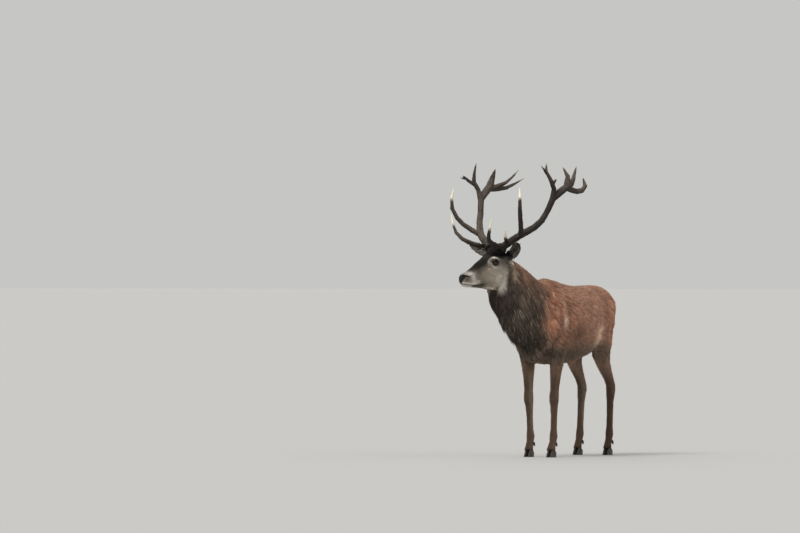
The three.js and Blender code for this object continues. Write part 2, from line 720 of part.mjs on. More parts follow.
let headOnly = headAndEars;
sides.forEach(([sideName, side]) => {
  const eyePlace = headPoint([0, side * eyeSpread, 0]);
  const ball = (radius) => {
    const geometry = new THREE.SphereGeometry(radius, ringSides.eye, eyeBands);
    return solidFrom(geometry.translate(eyePlace.x, eyePlace.y, eyePlace.z));
  };
  headOnly = headOnly.subtract(ball(eyeRadius + gap * 2));
  addPiece(`eye_${sideName}`, ball(eyeRadius), eyeGlass);

  const { burrPlace, burrWay } = burrSeat(side);
  const aboveHead = burrPlace.clone().addScaledVector(burrWay, burrSteps[0].high - gap);
  headOnly = headOnly.subtract(blockBeyond(aboveHead, burrWay, pedicleTrim));

  const mirrored = ([ahead, out, up]) => [ahead, side * out, up];
  const [earOnly, restOfHead] = partAt(
    headOnly,
    headPoint(mirrored(ear.cutPlace)),
    headDirection(mirrored(ear.cutWay)),
    { size: ear.cutSize },
  );
  headOnly = restOfHead;
  addPiece(`ear_${sideName}`, earOnly, faceHair);
});
addPiece("head", headOnly, faceHair);

const [tailOnly, withoutTail] = partAt(trunkAndLegs, vector(tailCut.place), vector(tailCut.way), tailCut);
addPiece("tail", tailOnly, hair);

let trunkOnly = withoutTail;
sides.forEach(([sideName, side]) => {
  legs.forEach(({ name, cutHeight, cutFrom, cutTo }) => {
    const place = new THREE.Vector3(side * legCut.out, 0, cutHeight);
    const [out, back, up] = legCut.way;
    const [low, high] = [side * legCut.from, side * legCut.to].sort((a, b) => a - b);
    const region = [[low, cutFrom, legCut.below], [high, cutTo, cutHeight + legCut.rise]];
    const [legOnly, rest] = partAt(trunkOnly, place, new THREE.Vector3(side * out, back, up), { region });
    trunkOnly = rest;
    addPiece(`${name}leg_${sideName}`, legOnly, hair);
  });
});
addPiece("trunk", trunkOnly, hair);

sides.forEach(([sideName, side]) => addAntler(sideName, side));

// The origin goes to the floor under the middle of the box.
const box = new THREE.Box3().setFromObject(stag);
const boxMiddle = box.getCenter(new THREE.Vector3());
stag.position.set(-boxMiddle.x, -boxMiddle.y, -box.min.z);

export default stag;
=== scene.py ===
import math

import bmesh
import bpy
import numpy as np
from mathutils.kdtree import KDTree
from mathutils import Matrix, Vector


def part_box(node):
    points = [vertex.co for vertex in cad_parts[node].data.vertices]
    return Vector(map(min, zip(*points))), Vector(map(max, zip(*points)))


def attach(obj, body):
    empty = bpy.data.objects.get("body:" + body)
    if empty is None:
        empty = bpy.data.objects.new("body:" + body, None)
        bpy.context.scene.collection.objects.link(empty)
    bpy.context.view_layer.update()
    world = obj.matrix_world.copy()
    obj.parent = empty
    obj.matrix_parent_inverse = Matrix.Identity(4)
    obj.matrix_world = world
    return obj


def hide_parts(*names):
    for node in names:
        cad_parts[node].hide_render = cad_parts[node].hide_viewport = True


# A red deer stag as a still display model: one skin, a coat of hair tufts and locks over it,
# antlers, hooves and eyes. Metres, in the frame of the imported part.

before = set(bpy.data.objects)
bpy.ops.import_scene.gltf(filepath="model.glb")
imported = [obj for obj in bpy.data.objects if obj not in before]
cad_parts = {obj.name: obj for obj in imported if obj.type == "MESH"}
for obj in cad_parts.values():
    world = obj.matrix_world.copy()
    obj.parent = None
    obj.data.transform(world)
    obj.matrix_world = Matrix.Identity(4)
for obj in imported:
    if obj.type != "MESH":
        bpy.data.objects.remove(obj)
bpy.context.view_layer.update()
print("frame loaded")

# Where the stag's parts are: left, back and up from the floor under the withers, and for the ears
# ahead, out and up from between the eyes.
stance = {
    "midEye": (-0.132, -0.564, 1.358),
    "headCut": (-0.086, -0.468, 1.300),  # a point and a direction each: head and neck lie beyond them
    "headCutWay": (-0.30, -0.88, 0.36),
    "neckCut": (0.0, -0.120, 0.980),
    "neckCutWay": (0.0, -0.95, 0.31),
    "earRoot": (-0.116, 0.062, 0.042),
    "earTip": (-0.050, 0.260, 0.127),
    "earFacing": (0.97, 0.12, -0.20),
    "chestHeight": 0.95,
    "rumpMiddle": 0.74,
    "rumpCurve": 0.30,
    "flankMiddle": 0.33,  # forelegs before it, hindlegs behind
}
sides = (("left", 1), ("right", -1))
fleshNodes = ["trunk", "neck", "head", "tail", "ear_left", "ear_right"]
fleshNodes += [f"{end}leg_{side}" for end in ("fore", "hind") for side, _ in sides]


def unit(vectors):
    vectors = np.asarray(vectors, float)
    return vectors / np.maximum(np.linalg.norm(vectors, axis=-1, keepdims=True), 1e-12)


eyeBoxes = {side: np.array([tuple(corner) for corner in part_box(f"eye_{side}")]) for side, _ in sides}
eyePlaces = {side: box.mean(0) for side, box in eyeBoxes.items()}
eyeRadius = np.diff(eyeBoxes["left"][:, 2])[0] / 2
midEye = (eyePlaces["left"] + eyePlaces["right"]) / 2
headLeft = unit(eyePlaces["left"] - eyePlaces["right"])
headUp = np.array([0.0, 0.0, 1.0])
headAhead = np.cross(headLeft, headUp)
headAxes = np.array([headAhead, headLeft, headUp])
withers = midEye - np.array(stance["midEye"])
earRoot, earTip, earFacing = (np.array(stance[key]) for key in ("earRoot", "earTip", "earFacing"))


def headPlaces(points):
    return (points - midEye) @ headAxes.T


def fromHead(places):
    return np.asarray(places, float) @ headAxes + midEye


def ramp(values, low, high):
    # 0 up to low, 1 from high on, and smooth between
    part = np.clip((values - low) / (high - low), 0, 1)
    return part * part * (3 - 2 * part)


def between(values, start, full, fade, end):
    # 1 from full to fade, 0 before start and after end
    return ramp(values, start, full) * ramp(-values, -end, -fade)


def stripe(offset, width):
    # 1 where the offset is nought, fading to both sides
    return np.exp(-(offset / width) ** 2)


def blob(places, centre, radii):
    # 1 at the centre, fading all round
    return np.exp(-(((places - np.array(centre)) / np.array(radii)) ** 2).sum(-1))


def mirrored(places):
    # both sides of the head or body as one
    return places * [1, 0, 1] + np.abs(places) * [0, 1, 0]


def bell(random, shape):
    # bell-shaped random values without the rare far ones
    return random.standard_normal(shape).clip(-2, 2)


def distanceToLine(places, knots):
    # distance from each place to a bent line, and how far along it the nearest spot is, 0 to 1
    knots = np.asarray(knots, float)
    best = np.full(len(places), 1e9)
    where = np.zeros(len(places))
    for index in range(len(knots) - 1):
        start, step = knots[index], knots[index + 1] - knots[index]
        part = np.clip((places - start) @ step / (step @ step), 0, 1)
        away = np.linalg.norm(places - start - part[:, None] * step, axis=1)
        nearer = away < best
        best[nearer] = away[nearer]
        where[nearer] = (index + part[nearer]) / (len(knots) - 1)
    return best, where


def softNoise(points, size, seed):
    # smooth random values from -1 to 1, size metres from hill to hill
    spot = points / size + 1000
    cell = np.floor(spot).astype(np.int64)
    part = spot - cell
    part = part * part * (3 - 2 * part)
    total = np.zeros(len(points))
    for corner in range(8):
        step = np.array([corner & 1, (corner >> 1) & 1, (corner >> 2) & 1])
        near = cell + step
        # large odd numbers mix a cell's place and the seed into one random number
        mix = near[:, 0] * 73856093 ^ near[:, 1] * 19349663 ^ near[:, 2] * 83492791 ^ (seed * 9176 + 77)
        mix = (mix ^ (mix >> 13)) * 1274126177 & 0xFFFFFFFF
        value = ((mix ^ (mix >> 16)) & 65535) / 32767.5 - 1
        weight = np.where(step, part, 1 - part).prod(axis=1)
        total += weight * value
    return total


def paint(red, green, blue):
    # a colour named in 0 to 255 display steps, as the linear values that shaders use
    share = np.array([red, green, blue]) / 255
    return np.where(share <= 0.04045, share / 12.92, ((share + 0.055) / 1.055) ** 2.4)


# Meshes in and out of arrays.

def meshFrom(name, points, faces, smooth=True):
    mesh = bpy.data.meshes.new(name)
    count, corners = faces.shape
    mesh.vertices.add(len(points))
    mesh.vertices.foreach_set("co", points.astype(np.float32).ravel())
    mesh.loops.add(count * corners)
    mesh.loops.foreach_set("vertex_index", faces.astype(np.int32).ravel())
    mesh.polygons.add(count)
    mesh.polygons.foreach_set("loop_start", np.arange(0, count * corners, corners, dtype=np.int32))
    mesh.polygons.foreach_set("use_smooth", np.full(count, smooth))
    mesh.update(calc_edges=True)
    return mesh


def reshaped(mesh, points):
    mesh.vertices.foreach_set("co", points.astype(np.float32).ravel())
    mesh.polygons.foreach_set("use_smooth", np.ones(len(mesh.polygons), bool))
    mesh.update()


def pointsOf(mesh):
    points = np.zeros(len(mesh.vertices) * 3, np.float32)
    mesh.vertices.foreach_get("co", points)
    return points.reshape(-1, 3).astype(float)


def cornersOf(mesh, corners):
    faces = np.zeros(len(mesh.loops), np.int32)
    mesh.loops.foreach_get("vertex_index", faces)
    return faces.reshape(-1, corners)


def edgesOf(mesh):
    edges = np.zeros(len(mesh.edges) * 2, np.int32)
    mesh.edges.foreach_get("vertices", edges)
    return edges.reshape(-1, 2)


def normalsAt(points, faces):
    first, second, third = (points[faces[:, index]] for index in range(3))
    flat = np.cross(second - first, third - first)
    total = np.zeros_like(points)
    for corner in range(faces.shape[1]):
        for axis in range(3):
            total[:, axis] += np.bincount(faces[:, corner], flat[:, axis], len(points))
    return unit(total)


def spread(values, edges):
    # the mean of each vertex's neighbours
    count = len(values)
    share = np.bincount(edges.ravel(), minlength=count)
    flat = values.reshape(count, -1)
    total = np.empty_like(flat)
    for column in range(flat.shape[1]):
        total[:, column] = np.bincount(edges[:, 0], flat[edges[:, 1], column], count)
        total[:, column] += np.bincount(edges[:, 1], flat[edges[:, 0], column], count)
    return (total / np.maximum(share, 1)[:, None]).reshape(values.shape)


def relaxed(points, edges, rounds, amount=0.5):
    # amount is one number, or one for each vertex
    amount = np.broadcast_to(amount, len(points))[:, None]
    for _ in range(rounds):
        points = points + amount * (spread(points, edges) - points)
    return points


def rounded(points, edges, rounds):
    # takes facets away and keeps the volume
    for _ in range(rounds):
        points = points + 0.5 * (spread(points, edges) - points)
        points = points - 0.52 * (spread(points, edges) - points)
    return points


def nodeShell(nodes, grow):
    # CAD nodes as one set of triangles, each node's surface moved out by grow
    allPoints, allFaces, start = [], [], 0
    for node in nodes:
        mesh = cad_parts[node].data
        mesh.calc_loop_triangles()
        corners = np.zeros(len(mesh.loop_triangles) * 3, np.int32)
        mesh.loop_triangles.foreach_get("vertices", corners)
        points, merged = np.unique(pointsOf(mesh).round(6), axis=0, return_inverse=True)
        faces = merged.ravel()[corners].reshape(-1, 3)
        points = points + grow * normalsAt(points, faces)
        allPoints.append(points)
        allFaces.append(faces + start)
        start += len(points)
    return np.concatenate(allPoints), np.concatenate(allFaces)


def evaluated(mesh, name, kind, thinned=None, **settings):
    # a mesh as one modifier leaves it, where thinned are the points that it may take away
    shaper = bpy.data.objects.new("shaper", mesh)
    bpy.context.scene.collection.objects.link(shaper)
    if thinned is not None:
        shaper.vertex_groups.new(name="thin").add(thinned.tolist(), 1.0, "REPLACE")
        settings["vertex_group"] = "thin"
    step = shaper.modifiers.new("step", kind)
    for key, value in settings.items():
        setattr(step, key, value)
    graph = bpy.context.evaluated_depsgraph_get()
    result = bpy.data.meshes.new_from_object(shaper.evaluated_get(graph))
    result.name = name
    bpy.data.objects.remove(shaper)
    return result


def voxelSkin(nodes, grow, voxel, name):
    mesh = meshFrom(name, *nodeShell(nodes, grow))
    return evaluated(mesh, name, "REMESH", mode="VOXEL", voxel_size=voxel, adaptivity=0)


def storeColour(mesh, name, colours):
    layer = mesh.attributes.new(name, "FLOAT_COLOR", "POINT")
    full = np.ones((len(colours), 4), np.float32)
    full[:, :3] = colours
    layer.data.foreach_set("color", full.ravel())


def storeValue(mesh, name, values):
    layer = mesh.attributes.new(name, "FLOAT", "POINT")
    layer.data.foreach_set("value", values.astype(np.float32))


def storeVector(mesh, name, values):
    layer = mesh.attributes.new(name, "FLOAT_VECTOR", "POINT")
    layer.data.foreach_set("vector", values.astype(np.float32).ravel())


def addPiece(name, mesh, material, replaced=()):
    piece = bpy.data.objects.new(name, mesh)
    bpy.context.scene.collection.objects.link(piece)
    mesh.materials.clear()
    mesh.materials.append(material)
    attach(piece, "root")
    if replaced:
        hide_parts(*replaced)
    return piece


# Where each part of the body is, as soft masks from 0 to 1.

def earMasks(places):
    # how far along an ear each place is, and how near it is to one
    way = earTip - earRoot
    fold = mirrored(places) - earRoot
    along = fold @ way / (way @ way)
    away = np.linalg.norm(fold - along[:, None] * way, axis=1)
    return along, ramp(along, 0.17, 0.30) * (1 - ramp(away, 0.055, 0.085))


def bodyMap(points):
    body = points - withers
    head = headPlaces(points)
    headSide = (body - np.array(stance["headCut"])) @ unit(stance["headCutWay"])
    neckSide = (body - np.array(stance["neckCut"])) @ unit(stance["neckCutWay"])
    along, isEar = earMasks(head)
    isHead = ramp(headSide, -0.028, 0.022)
    isNeck = ramp(neckSide, -0.10, 0.10) * (1 - isHead)
    isFront = body[:, 1] < stance["flankMiddle"]
    legTop = np.where(isFront, 0.66, 0.70)
    isLeg = 1 - ramp(body[:, 2], legTop - 0.10, legTop + 0.10)
    isTail = ramp(body[:, 1], 0.965, 0.985) * (1 - ramp(np.abs(body[:, 0]), 0.036, 0.05))
    isTail = isTail * ramp(body[:, 2], 0.86, 0.92)
    isTrunk = (1 - isHead) * (1 - isNeck) * (1 - isLeg) * (1 - isTail)
    return {
        "body": body, "head": head, "earAlong": along, "isEar": isEar, "isHead": isHead,
        "isNeck": isNeck, "isLeg": isLeg, "isTail": isTail, "isTrunk": isTrunk,
        "isFront": isFront, "headSide": headSide, "neckSide": neckSide,
    }


coatDepth = {
    "trunk": 0.010, "belly": 0.013, "head": 0.0028, "muzzle": 0.0012, "ear": 0.0016,
    "leg": 0.0038, "tail": 0.009, "crest": 0.014, "mane": 0.042, "brisket": 0.022,
}


def depthAt(where, normals):
    # how far the skin lies under the tips of the hair
    head, body = where["head"], where["body"]
    under = ramp(-normals[:, 2], -0.55, 0.30)
    neck = coatDepth["crest"] + (coatDepth["mane"] - coatDepth["crest"]) * under
    neck = neck * (0.45 + 0.55 * ramp(-where["headSide"], 0.01, 0.12))
    belly = ramp(-normals[:, 2], 0.1, 0.8)
    trunk = coatDepth["trunk"] + (coatDepth["belly"] - coatDepth["trunk"]) * belly
    brisket = ramp(-body[:, 1], -0.02, 0.12) * ramp(-body[:, 2], -0.95, -0.80)
    trunk = trunk + (coatDepth["brisket"] - trunk) * brisket
    face = coatDepth["head"] + (coatDepth["muzzle"] - coatDepth["head"]) * ramp(head[:, 0], 0.12, 0.20)
    depth = where["isTrunk"] * trunk + where["isNeck"] * neck + where["isHead"] * face
    depth += (1 - where["isHead"]) * (1 - where["isNeck"]) * where["isLeg"] * coatDepth["leg"]
    depth += (1 - where["isLeg"]) * where["isTail"] * coatDepth["tail"]
    return depth + where["isEar"] * (coatDepth["ear"] - depth)


def lieAt(where, normals):
    # the way the hair lies
    body, head = where["body"], where["head"]
    count = len(body)
    sideways = np.abs(normals[:, 0])
    trunk = np.tile([0.0, 1.0, 0.0], (count, 1))
    shoulder = 1 - ramp(body[:, 1], 0.02, 0.30)
    trunk[:, 2] = -(0.16 + 0.34 * sideways + 0.55 * shoulder * sideways + 0.3 * ramp(body[:, 1], 0.6, 0.9))
    crest = ramp(normals[:, 2], 0.15, 0.65)[:, None]
    neck = crest * np.array([0.10, 0.85, -0.35]) + (1 - crest) * np.array([0.08, 0.42, -1.0])
    face = np.tile([-1.0, 0.0, -0.10], (count, 1))
    face[:, 2] -= 0.45 * ramp(-head[:, 0], 0.0, 0.08) * ramp(-head[:, 2], 0.02, 0.12)
    tip = ramp(head[:, 0], 0.236, 0.262)
    face[:, 1] += tip * head[:, 1] * 40
    face[:, 2] += tip * (head[:, 2] + 0.112) * 40
    face = face @ headAxes
    ear = np.tile(earTip - earRoot, (count, 1))
    ear[:, 1] *= np.sign(head[:, 1])
    ear = unit(ear) @ headAxes
    leg = np.tile([0.0, 0.10, -1.0], (count, 1))
    tail = np.tile([0.0, 0.22, -1.0], (count, 1))
    lie = where["isTrunk"][:, None] * trunk + where["isNeck"][:, None] * neck
    lie += where["isHead"][:, None] * face
    onLeg = (1 - where["isHead"]) * (1 - where["isNeck"]) * where["isLeg"]
    lie += onLeg[:, None] * leg + where["isTail"][:, None] * tail
    lie += where["isEar"][:, None] * (ear - lie)
    return unit(lie - normals * (lie * normals).sum(1, keepdims=True))


# Markings, some with painted highlights and shade. One function colours skin and coat alike.

coatPaints = {
    "body": (174, 138, 118), "bodyWarm": (158, 115, 92), "back": (132, 103, 85), "belly": (100, 94, 84),
    "haunch": (184, 142, 119), "flankPaleAndHighlight": (236, 212, 190), "rump": (214, 198, 172),
    "rumpEdge": (74, 58, 50), "rumpRim": (190, 150, 120), "tail": (180, 148, 120),
    "crest": (144, 112, 92), "mane": (84, 71, 61), "maneBrown": (100, 76, 62), "maneDeep": (55, 49, 44),
    "maneDark": (38, 29, 24), "throat": (47, 42, 38), "nape": (170, 148, 128), "strand": (168, 158, 144),
    "leg": (114, 92, 76), "legInner": (156, 140, 120), "legDark": (76, 63, 54),
    "face": (152, 142, 127), "cheek": (188, 178, 162), "temple": (88, 77, 69), "forehead": (16, 14, 14),
    "forelock": (36, 31, 31), "noseBridge": (40, 36, 34), "eyeRing": (230, 224, 214), "socket": (60, 54, 51),
    "muzzlePale": (226, 220, 212), "muzzleSide": (104, 82, 76), "lip": (222, 214, 205),
    "chin": (220, 214, 206), "bare": (24, 22, 23), "jawPale": (202, 192, 180), "jawDark": (56, 50, 46),
    "earBack": (104, 90, 78), "earInner": (108, 103, 97), "earCore": (26, 23, 22), "earRim": (40, 34, 32),
    "earTuft": (214, 202, 184), "earPale": (206, 200, 190),
}
coatColours = {name: paint(*steps) for name, steps in coatPaints.items()}

# lines on the head: ahead of, out from and above the place between the eyes
mouthLine = [(0.1120, -0.1485), (0.1500, -0.1520), (0.1960, -0.1530), (0.2380, -0.1480), (0.2620, -0.1400)]
nostrilLine = [(0.2560, 0.0180, -0.0940), (0.2430, 0.0290, -0.0905), (0.2240, 0.0340, -0.0930),
               (0.2060, 0.0330, -0.0975)]
nostrilWay = np.array([-0.45, -0.85, -0.10])
glandLine = [(0.0300, 0.0720, -0.0100), (0.0420, 0.0680, -0.0170), (0.0580, 0.0620, -0.0300)]


def onLine(values, knots):
    # the height of a bent line through the knots
    return np.interp(values, *np.array(knots).T)


def mouthHeight(ahead):
    return onLine(ahead, mouthLine)


def blended(base, extra, mask):
    return base + (extra - base) * np.clip(mask, 0, 1)[:, None]


def layered(colour, layers):
    # named coat colours laid over a ground, each where its mask says
    for tone, mask in layers:
        colour = blended(colour, coatColours[tone], mask)
    return colour


def flankStripe(body, wavy, place, lean, width, heights):
    # a stripe down the flank: where it stands 1 m up, its lean, its width, and the heights it spans
    _, y, z = body.T
    return stripe(y - place - lean * (z - 1.0) + wavy, width) * between(z, *heights)


def flankSlant(body):
    # how far back a spot on the flank lies, counting the body's swell too
    return 0.891 * np.abs(body[:, 0]) + 0.454 * body[:, 1]


def trunkColours(body, normals):
    x, y, z = body.T
    upward = normals[:, 2]
    wavy = 0.012 * softNoise(body, 0.035, 31)
    flank = body * [0, 1, 1]
    waved = flank + wavy[:, None]
    slant = np.stack([0 * z, flankSlant(body) + wavy, z], axis=1)
    spine = stripe(x, 0.020) * ramp(upward, 0.5, 0.9) * ramp(y, -0.1, 0.1)
    # painted highlight: a pale line down the shoulder's rear edge and a pale spot at its foot; the patch
    # before the stifle is pale hair
    pale = 0.22 * flankStripe(body, wavy, 0.005, 0.10, 0.036, (0.86, 0.95, 1.10, 1.20))
    pale = pale + 0.75 * blob(waved, (0, 0.016, 0.968), (1, 0.022, 0.034))
    pale = pale + 0.80 * blob(waved, (0, 0.530, 0.862), (1, 0.062, 0.072))
    rump = ramp(y + wavy, 0.875, 0.935) * between(x, -0.130, -0.085, 0.085, 0.130)
    rump = rump * between(z, 0.80, 0.88, 1.10, 1.16)
    edge = ramp(y, 0.835, 0.90) * between(x, -0.155, -0.115, 0.115, 0.155)
    edge = edge * between(z, 0.78, 0.86, 1.12, 1.18)
    return layered(coatColours["body"], [
        ("haunch", ramp(y + 0.3 * (z - 1), 0.62, 0.76)),
        ("bodyWarm", blob(flank, (0, -0.06, 1.06), (1, 0.19, 0.24))),
        ("back", 0.55 * ramp(upward, 0.45, 0.95)),
        ("maneDeep", 0.35 * spine),
        ("belly", 0.90 * ramp(-z + wavy * 2, -0.86, -0.73)),
        ("flankPaleAndHighlight", pale),
        ("rumpEdge", 0.30 * flankStripe(body, wavy, 0.055, 0.10, 0.026, (0.80, 0.92, 1.02, 1.18))),
        ("maneBrown", 0.62 * blob(slant, (0, 0.235, 0.875), (1, 0.060, 0.056))),
        ("maneBrown", 0.45 * blob(slant, (0, 0.056, 0.910), (1, 0.034, 0.060))),
        ("rumpEdge", 0.32 * flankStripe(body, wavy, 0.635, 0.30, 0.030, (0.76, 0.88, 1.08, 1.20))),
        ("rumpEdge", 0.55 * flankStripe(body, wavy, 0.800, 0.00, 0.034, (0.80, 0.92, 1.08, 1.18))),
        ("rumpRim", 0.25 * ramp(y, 0.845, 0.885) * ramp(z, 0.70, 0.84)),
        ("rumpEdge", 0.75 * edge * (1 - rump)),
        ("rump", rump),
    ])


# Marks on the neck. The border and the crease are given by height and flank slant, the crest's height by
# how far forward it is, and the pale streaks behind the cheek by their middle and reach beside the head.
maneBorder = [(0.85, 0.030), (0.96, -0.036), (1.03, -0.014), (1.15, 0.008), (1.256, -0.078), (1.34, -0.11)]
maneCrease = [(0, -0.080, 1.256), (0, -0.018, 1.195), (0, 0.016, 1.134), (0, 0.006, 1.064),
              (0, -0.053, 0.994)]
crestLine = [(-0.10, 1.23), (0.00, 1.24), (0.15, 1.26), (0.30, 1.31), (0.47, 1.40)]
napePatch = ((-0.145, 0.08, -0.064), (0.028, 0.05, 0.060))


def neckColours(body, normals, where):
    x, y, z = body.T
    ragged = 0.022 * softNoise(body * [1, 1, 0.3], 0.030, 32)
    slant = flankSlant(body)
    dark = ramp(onLine(z, maneBorder) - slant + 0.5 * ragged, -0.040, 0.020)
    # how far down the neck's side: its crest is reddish, its lower edge nearly black
    down = onLine(-y, crestLine) - z + ragged
    throat = ramp(where["headSide"], -0.14, -0.04) * ramp(down, 0.04, 0.10)
    brisket = ramp(-z + ragged, -0.90, -0.80) * ramp(-y, -0.10, 0.02)
    across = np.stack([0 * z, slant + 0.5 * ragged, z], axis=1)
    crease, _ = distanceToLine(across, maneCrease)
    return layered(coatColours["bodyWarm"] * 0.75 + coatColours["body"] * 0.25, [
        ("mane", dark),
        ("maneBrown", 0.80 * dark * (1 - ramp(down, 0.10, 0.24))),
        ("crest", 0.85 * (1 - ramp(down, 0.02, 0.13))),
        ("maneDeep", 0.75 * ramp(-normals[:, 2], -0.05, 0.55) * dark),
        ("throat", 0.88 * throat),
        ("maneDeep", 0.75 * brisket),
        ("maneDark", 0.75 * blob(across, (0, -0.078, 1.045), (1, 0.035, 0.080))),
        ("maneDark", 0.70 * stripe(crease, 0.013) * ramp(np.abs(x), 0.02, 0.05)),
    ])


def cheekBack(fold):
    # how far behind the eye a spot lies, on a slant that counts the cheek's swell too
    return 0.643 * fold[:, 1] - 0.766 * fold[:, 0]


def eyeMarks(fold):
    # the dark socket, partly dark lids and partly painted shade over the upper lid, the lashes, the pale arc
    # over the eye, and the tear corner before it
    out = fold[:, 1]
    fromEye = fold - np.array([0.0, 0.078, 0.0])
    ahead, up = fromEye[:, 0], fromEye[:, 2]
    circle = np.hypot(ahead * 0.92, up)
    oval = np.hypot(ahead * 0.92, up * np.where(up < 0, 1.5, 1.2))
    ring = np.hypot((ahead - 0.009) * 0.80, up)
    angle = np.degrees(np.arctan2(up, ahead))
    onSide = ramp(out, 0.035, 0.055)
    arc = stripe(ring - 0.0352, 0.0050) * between(angle, -18, 10, 122, 158)
    under = stripe(circle - 0.034, 0.007) * (1 - ramp(np.abs(angle + 60), 45, 85))
    gland, _ = distanceToLine(fold, glandLine)
    return [
        # dark lids with painted shade over the upper lid: an oval that reaches further above the eye than
        # below
        ("socket", 0.80 * (1 - ramp(oval, 0.024, 0.033)) * onSide),
        ("eyeRing", 0.97 * arc * onSide),
        ("socket", 0.85 * blob(fold, (0.037, 0.068, -0.007), (0.012, 0.02, 0.012))),
        ("bare", 0.6 * stripe(oval - 0.0255, 0.0045) * onSide),
        ("eyeRing", 0.50 * under * onSide),
        ("jawDark", 0.85 * stripe(gland, 0.0060)),
        ("eyeRing", 0.4 * blob(fold, (0.056, 0.062, -0.044), (0.010, 0.02, 0.007))),
    ]


def mouthMarks(fold):
    ahead, _, up = fold.T
    gap = up - mouthHeight(ahead)
    palePart = onLine(ahead, [(0.12, 0.030), (0.15, 0.026), (0.20, 0.012), (0.26, 0.006)])
    upperLip = ramp(ahead, 0.110, 0.135) * between(gap, -0.002, 0.002, palePart, palePart + 0.009)
    return [
        ("muzzlePale", 1.1 * blob(fold, (0.197, 0.024, -0.076), (0.030, 0.022, 0.013))),
        ("muzzlePale", 0.8 * blob(fold, (0.178, 0.036, -0.096), (0.018, 0.022, 0.022))),
        ("muzzleSide", 0.9 * blob(fold, (0.232, 0.034, -0.113), (0.028, 0.022, 0.015))),
        ("lip", 0.55 * blob(fold, (0.172, 0.040, -0.118), (0.030, 0.022, 0.014))),
        ("lip", 0.9 * upperLip),
        ("chin", 0.9 * ramp(ahead, 0.165, 0.20) * ramp(-gap, -0.001, 0.002)),
        ("jawDark", 0.60 * between(ahead, 0.070, 0.095, 0.170, 0.190) * ramp(-gap, -0.004, 0.002)),
        ("jawDark", 0.75 * blob(fold, (0.095, 0.045, -0.147), (0.024, 0.03, 0.007))),
    ]


def jawMarks(fold):
    # a painted highlight along the jaw's lower edge, and painted shade under it
    ahead, _, up = fold.T
    edge = onLine(ahead, [(-0.06, -0.184), (0.00, -0.180), (0.06, -0.174), (0.12, -0.165), (0.16, -0.162)])
    # painted highlight along the jaw's lower edge
    rim = stripe(up - edge - 0.006, 0.006) * between(ahead, -0.012, 0.006, 0.04, 0.075)
    slit = stripe(up - mouthHeight(ahead), 0.0030) * ramp(ahead, 0.100, 0.118)
    return [
        ("jawPale", 0.9 * rim),
        ("jawPale", 0.55 * blob(fold, (-0.056, 0.06, -0.140), (0.044, 0.05, 0.038))),
        ("jawDark", 0.80 * blob(fold, (-0.024, 0.045, -0.171), (0.014, 0.03, 0.013))),
        # painted shade under the jaw
        ("jawDark", 0.9 * ramp(edge - up, -0.001, 0.005) * between(ahead, -0.110, -0.080, 0.15, 0.185)),
        ("bare", 0.95 * slit),
    ]


def faceColours(head):
    fold = mirrored(head)
    ahead, _, up = fold.T
    ragged = softNoise(fold, 0.012, 36)
    # the dark top of the face ends on a line from over the eye to the nose
    line = onLine(ahead, [(-0.02, 0.036), (0.05, 0.008), (0.07, -0.008), (0.13, -0.040), (0.20, -0.068)])
    dark = ramp(up - line + 0.004 * ragged, -0.020, 0.013) * ramp(-ahead, -0.235, -0.175)
    dusky = ramp(up - line, -0.062, -0.012) * between(ahead, 0.045, 0.085, 0.125, 0.165)
    layers = [
        ("cheek", 0.9 * blob(fold, (-0.02, 0.07, -0.09), (0.080, 0.08, 0.075))),
        ("throat", 0.85 * ramp(cheekBack(fold) + 0.006 * ragged, 0.110, 0.134)),
        ("jawPale", 0.65 * blob(fold, (-0.072, 0.07, -0.072), (0.024, 0.05, 0.055))),
        ("temple", 0.6 * blob(fold, (-0.075, 0.075, 0.015), (0.05, 0.05, 0.045))),
        ("noseBridge", 0.55 * dusky),
        ("noseBridge", 0.92 * dark),
        ("forehead", 0.97 * ramp(up, 0.040, 0.052) * ramp(-ahead, -0.05, 0.0)),
    ]
    layers += eyeMarks(fold) + mouthMarks(fold) + jawMarks(fold)
    layers += [
        ("earTuft", 0.45 * blob(fold, (-0.140, 0.070, -0.010), (0.012, 0.034, 0.045))),
        ("bare", bareMask(head)),
    ]
    return layered(coatColours["face"], layers)


def bareMask(head):
    # the moist nose pad and the rims of the nostrils
    fold = mirrored(head)
    ahead, out, up = fold.T
    wide = onLine(up, [(-0.139, 0.012), (-0.128, 0.019), (-0.112, 0.027), (-0.098, 0.034), (-0.080, 0.036)])
    pad = ramp(wide - out, -0.0008, 0.0012) * ramp(ahead - 0.3 * (up + 0.11), 0.2330, 0.2360)
    pad = pad * between(up, -0.1395, -0.1375, -0.0790, -0.0765)
    # measured across the way in, so that the walls of the hole count too
    inward = unit(nostrilWay)
    flat = fold - (fold @ inward)[:, None] * inward
    knots = np.array(nostrilLine)
    away, along = distanceToLine(flat, knots - (knots @ inward)[:, None] * inward)
    edge = 0.0085 - 0.0048 * along
    rim = (1 - ramp(away, edge - 0.0008, edge + 0.0010)) * ramp(ahead, 0.16, 0.17)
    return np.clip(np.maximum(pad, rim), 0, 1)


def earColours(where, normals):
    inside = ramp(normals @ unit(earFacing * [1, 0, 1] @ headAxes), 0.0, 0.35)
    along = where["earAlong"]
    across = np.cross(unit(earTip - earRoot), unit(earFacing))
    off = (mirrored(where["head"]) - earRoot) @ unit(across)
    rim = np.maximum(ramp(np.abs(off), 0.030, 0.038) * ramp(along, 0.3, 0.5), ramp(along, 0.86, 0.95))
    back = layered(coatColours["earBack"], [("earRim", ramp(along, 0.80, 0.98))])
    core = stripe(off + 0.002, 0.015) * (1 - ramp(along, 0.66, 0.90))
    inner = layered(coatColours["earInner"], [("earCore", 0.92 * core)])
    return blended(blended(back, inner, inside), coatColours["earRim"], 0.85 * rim)


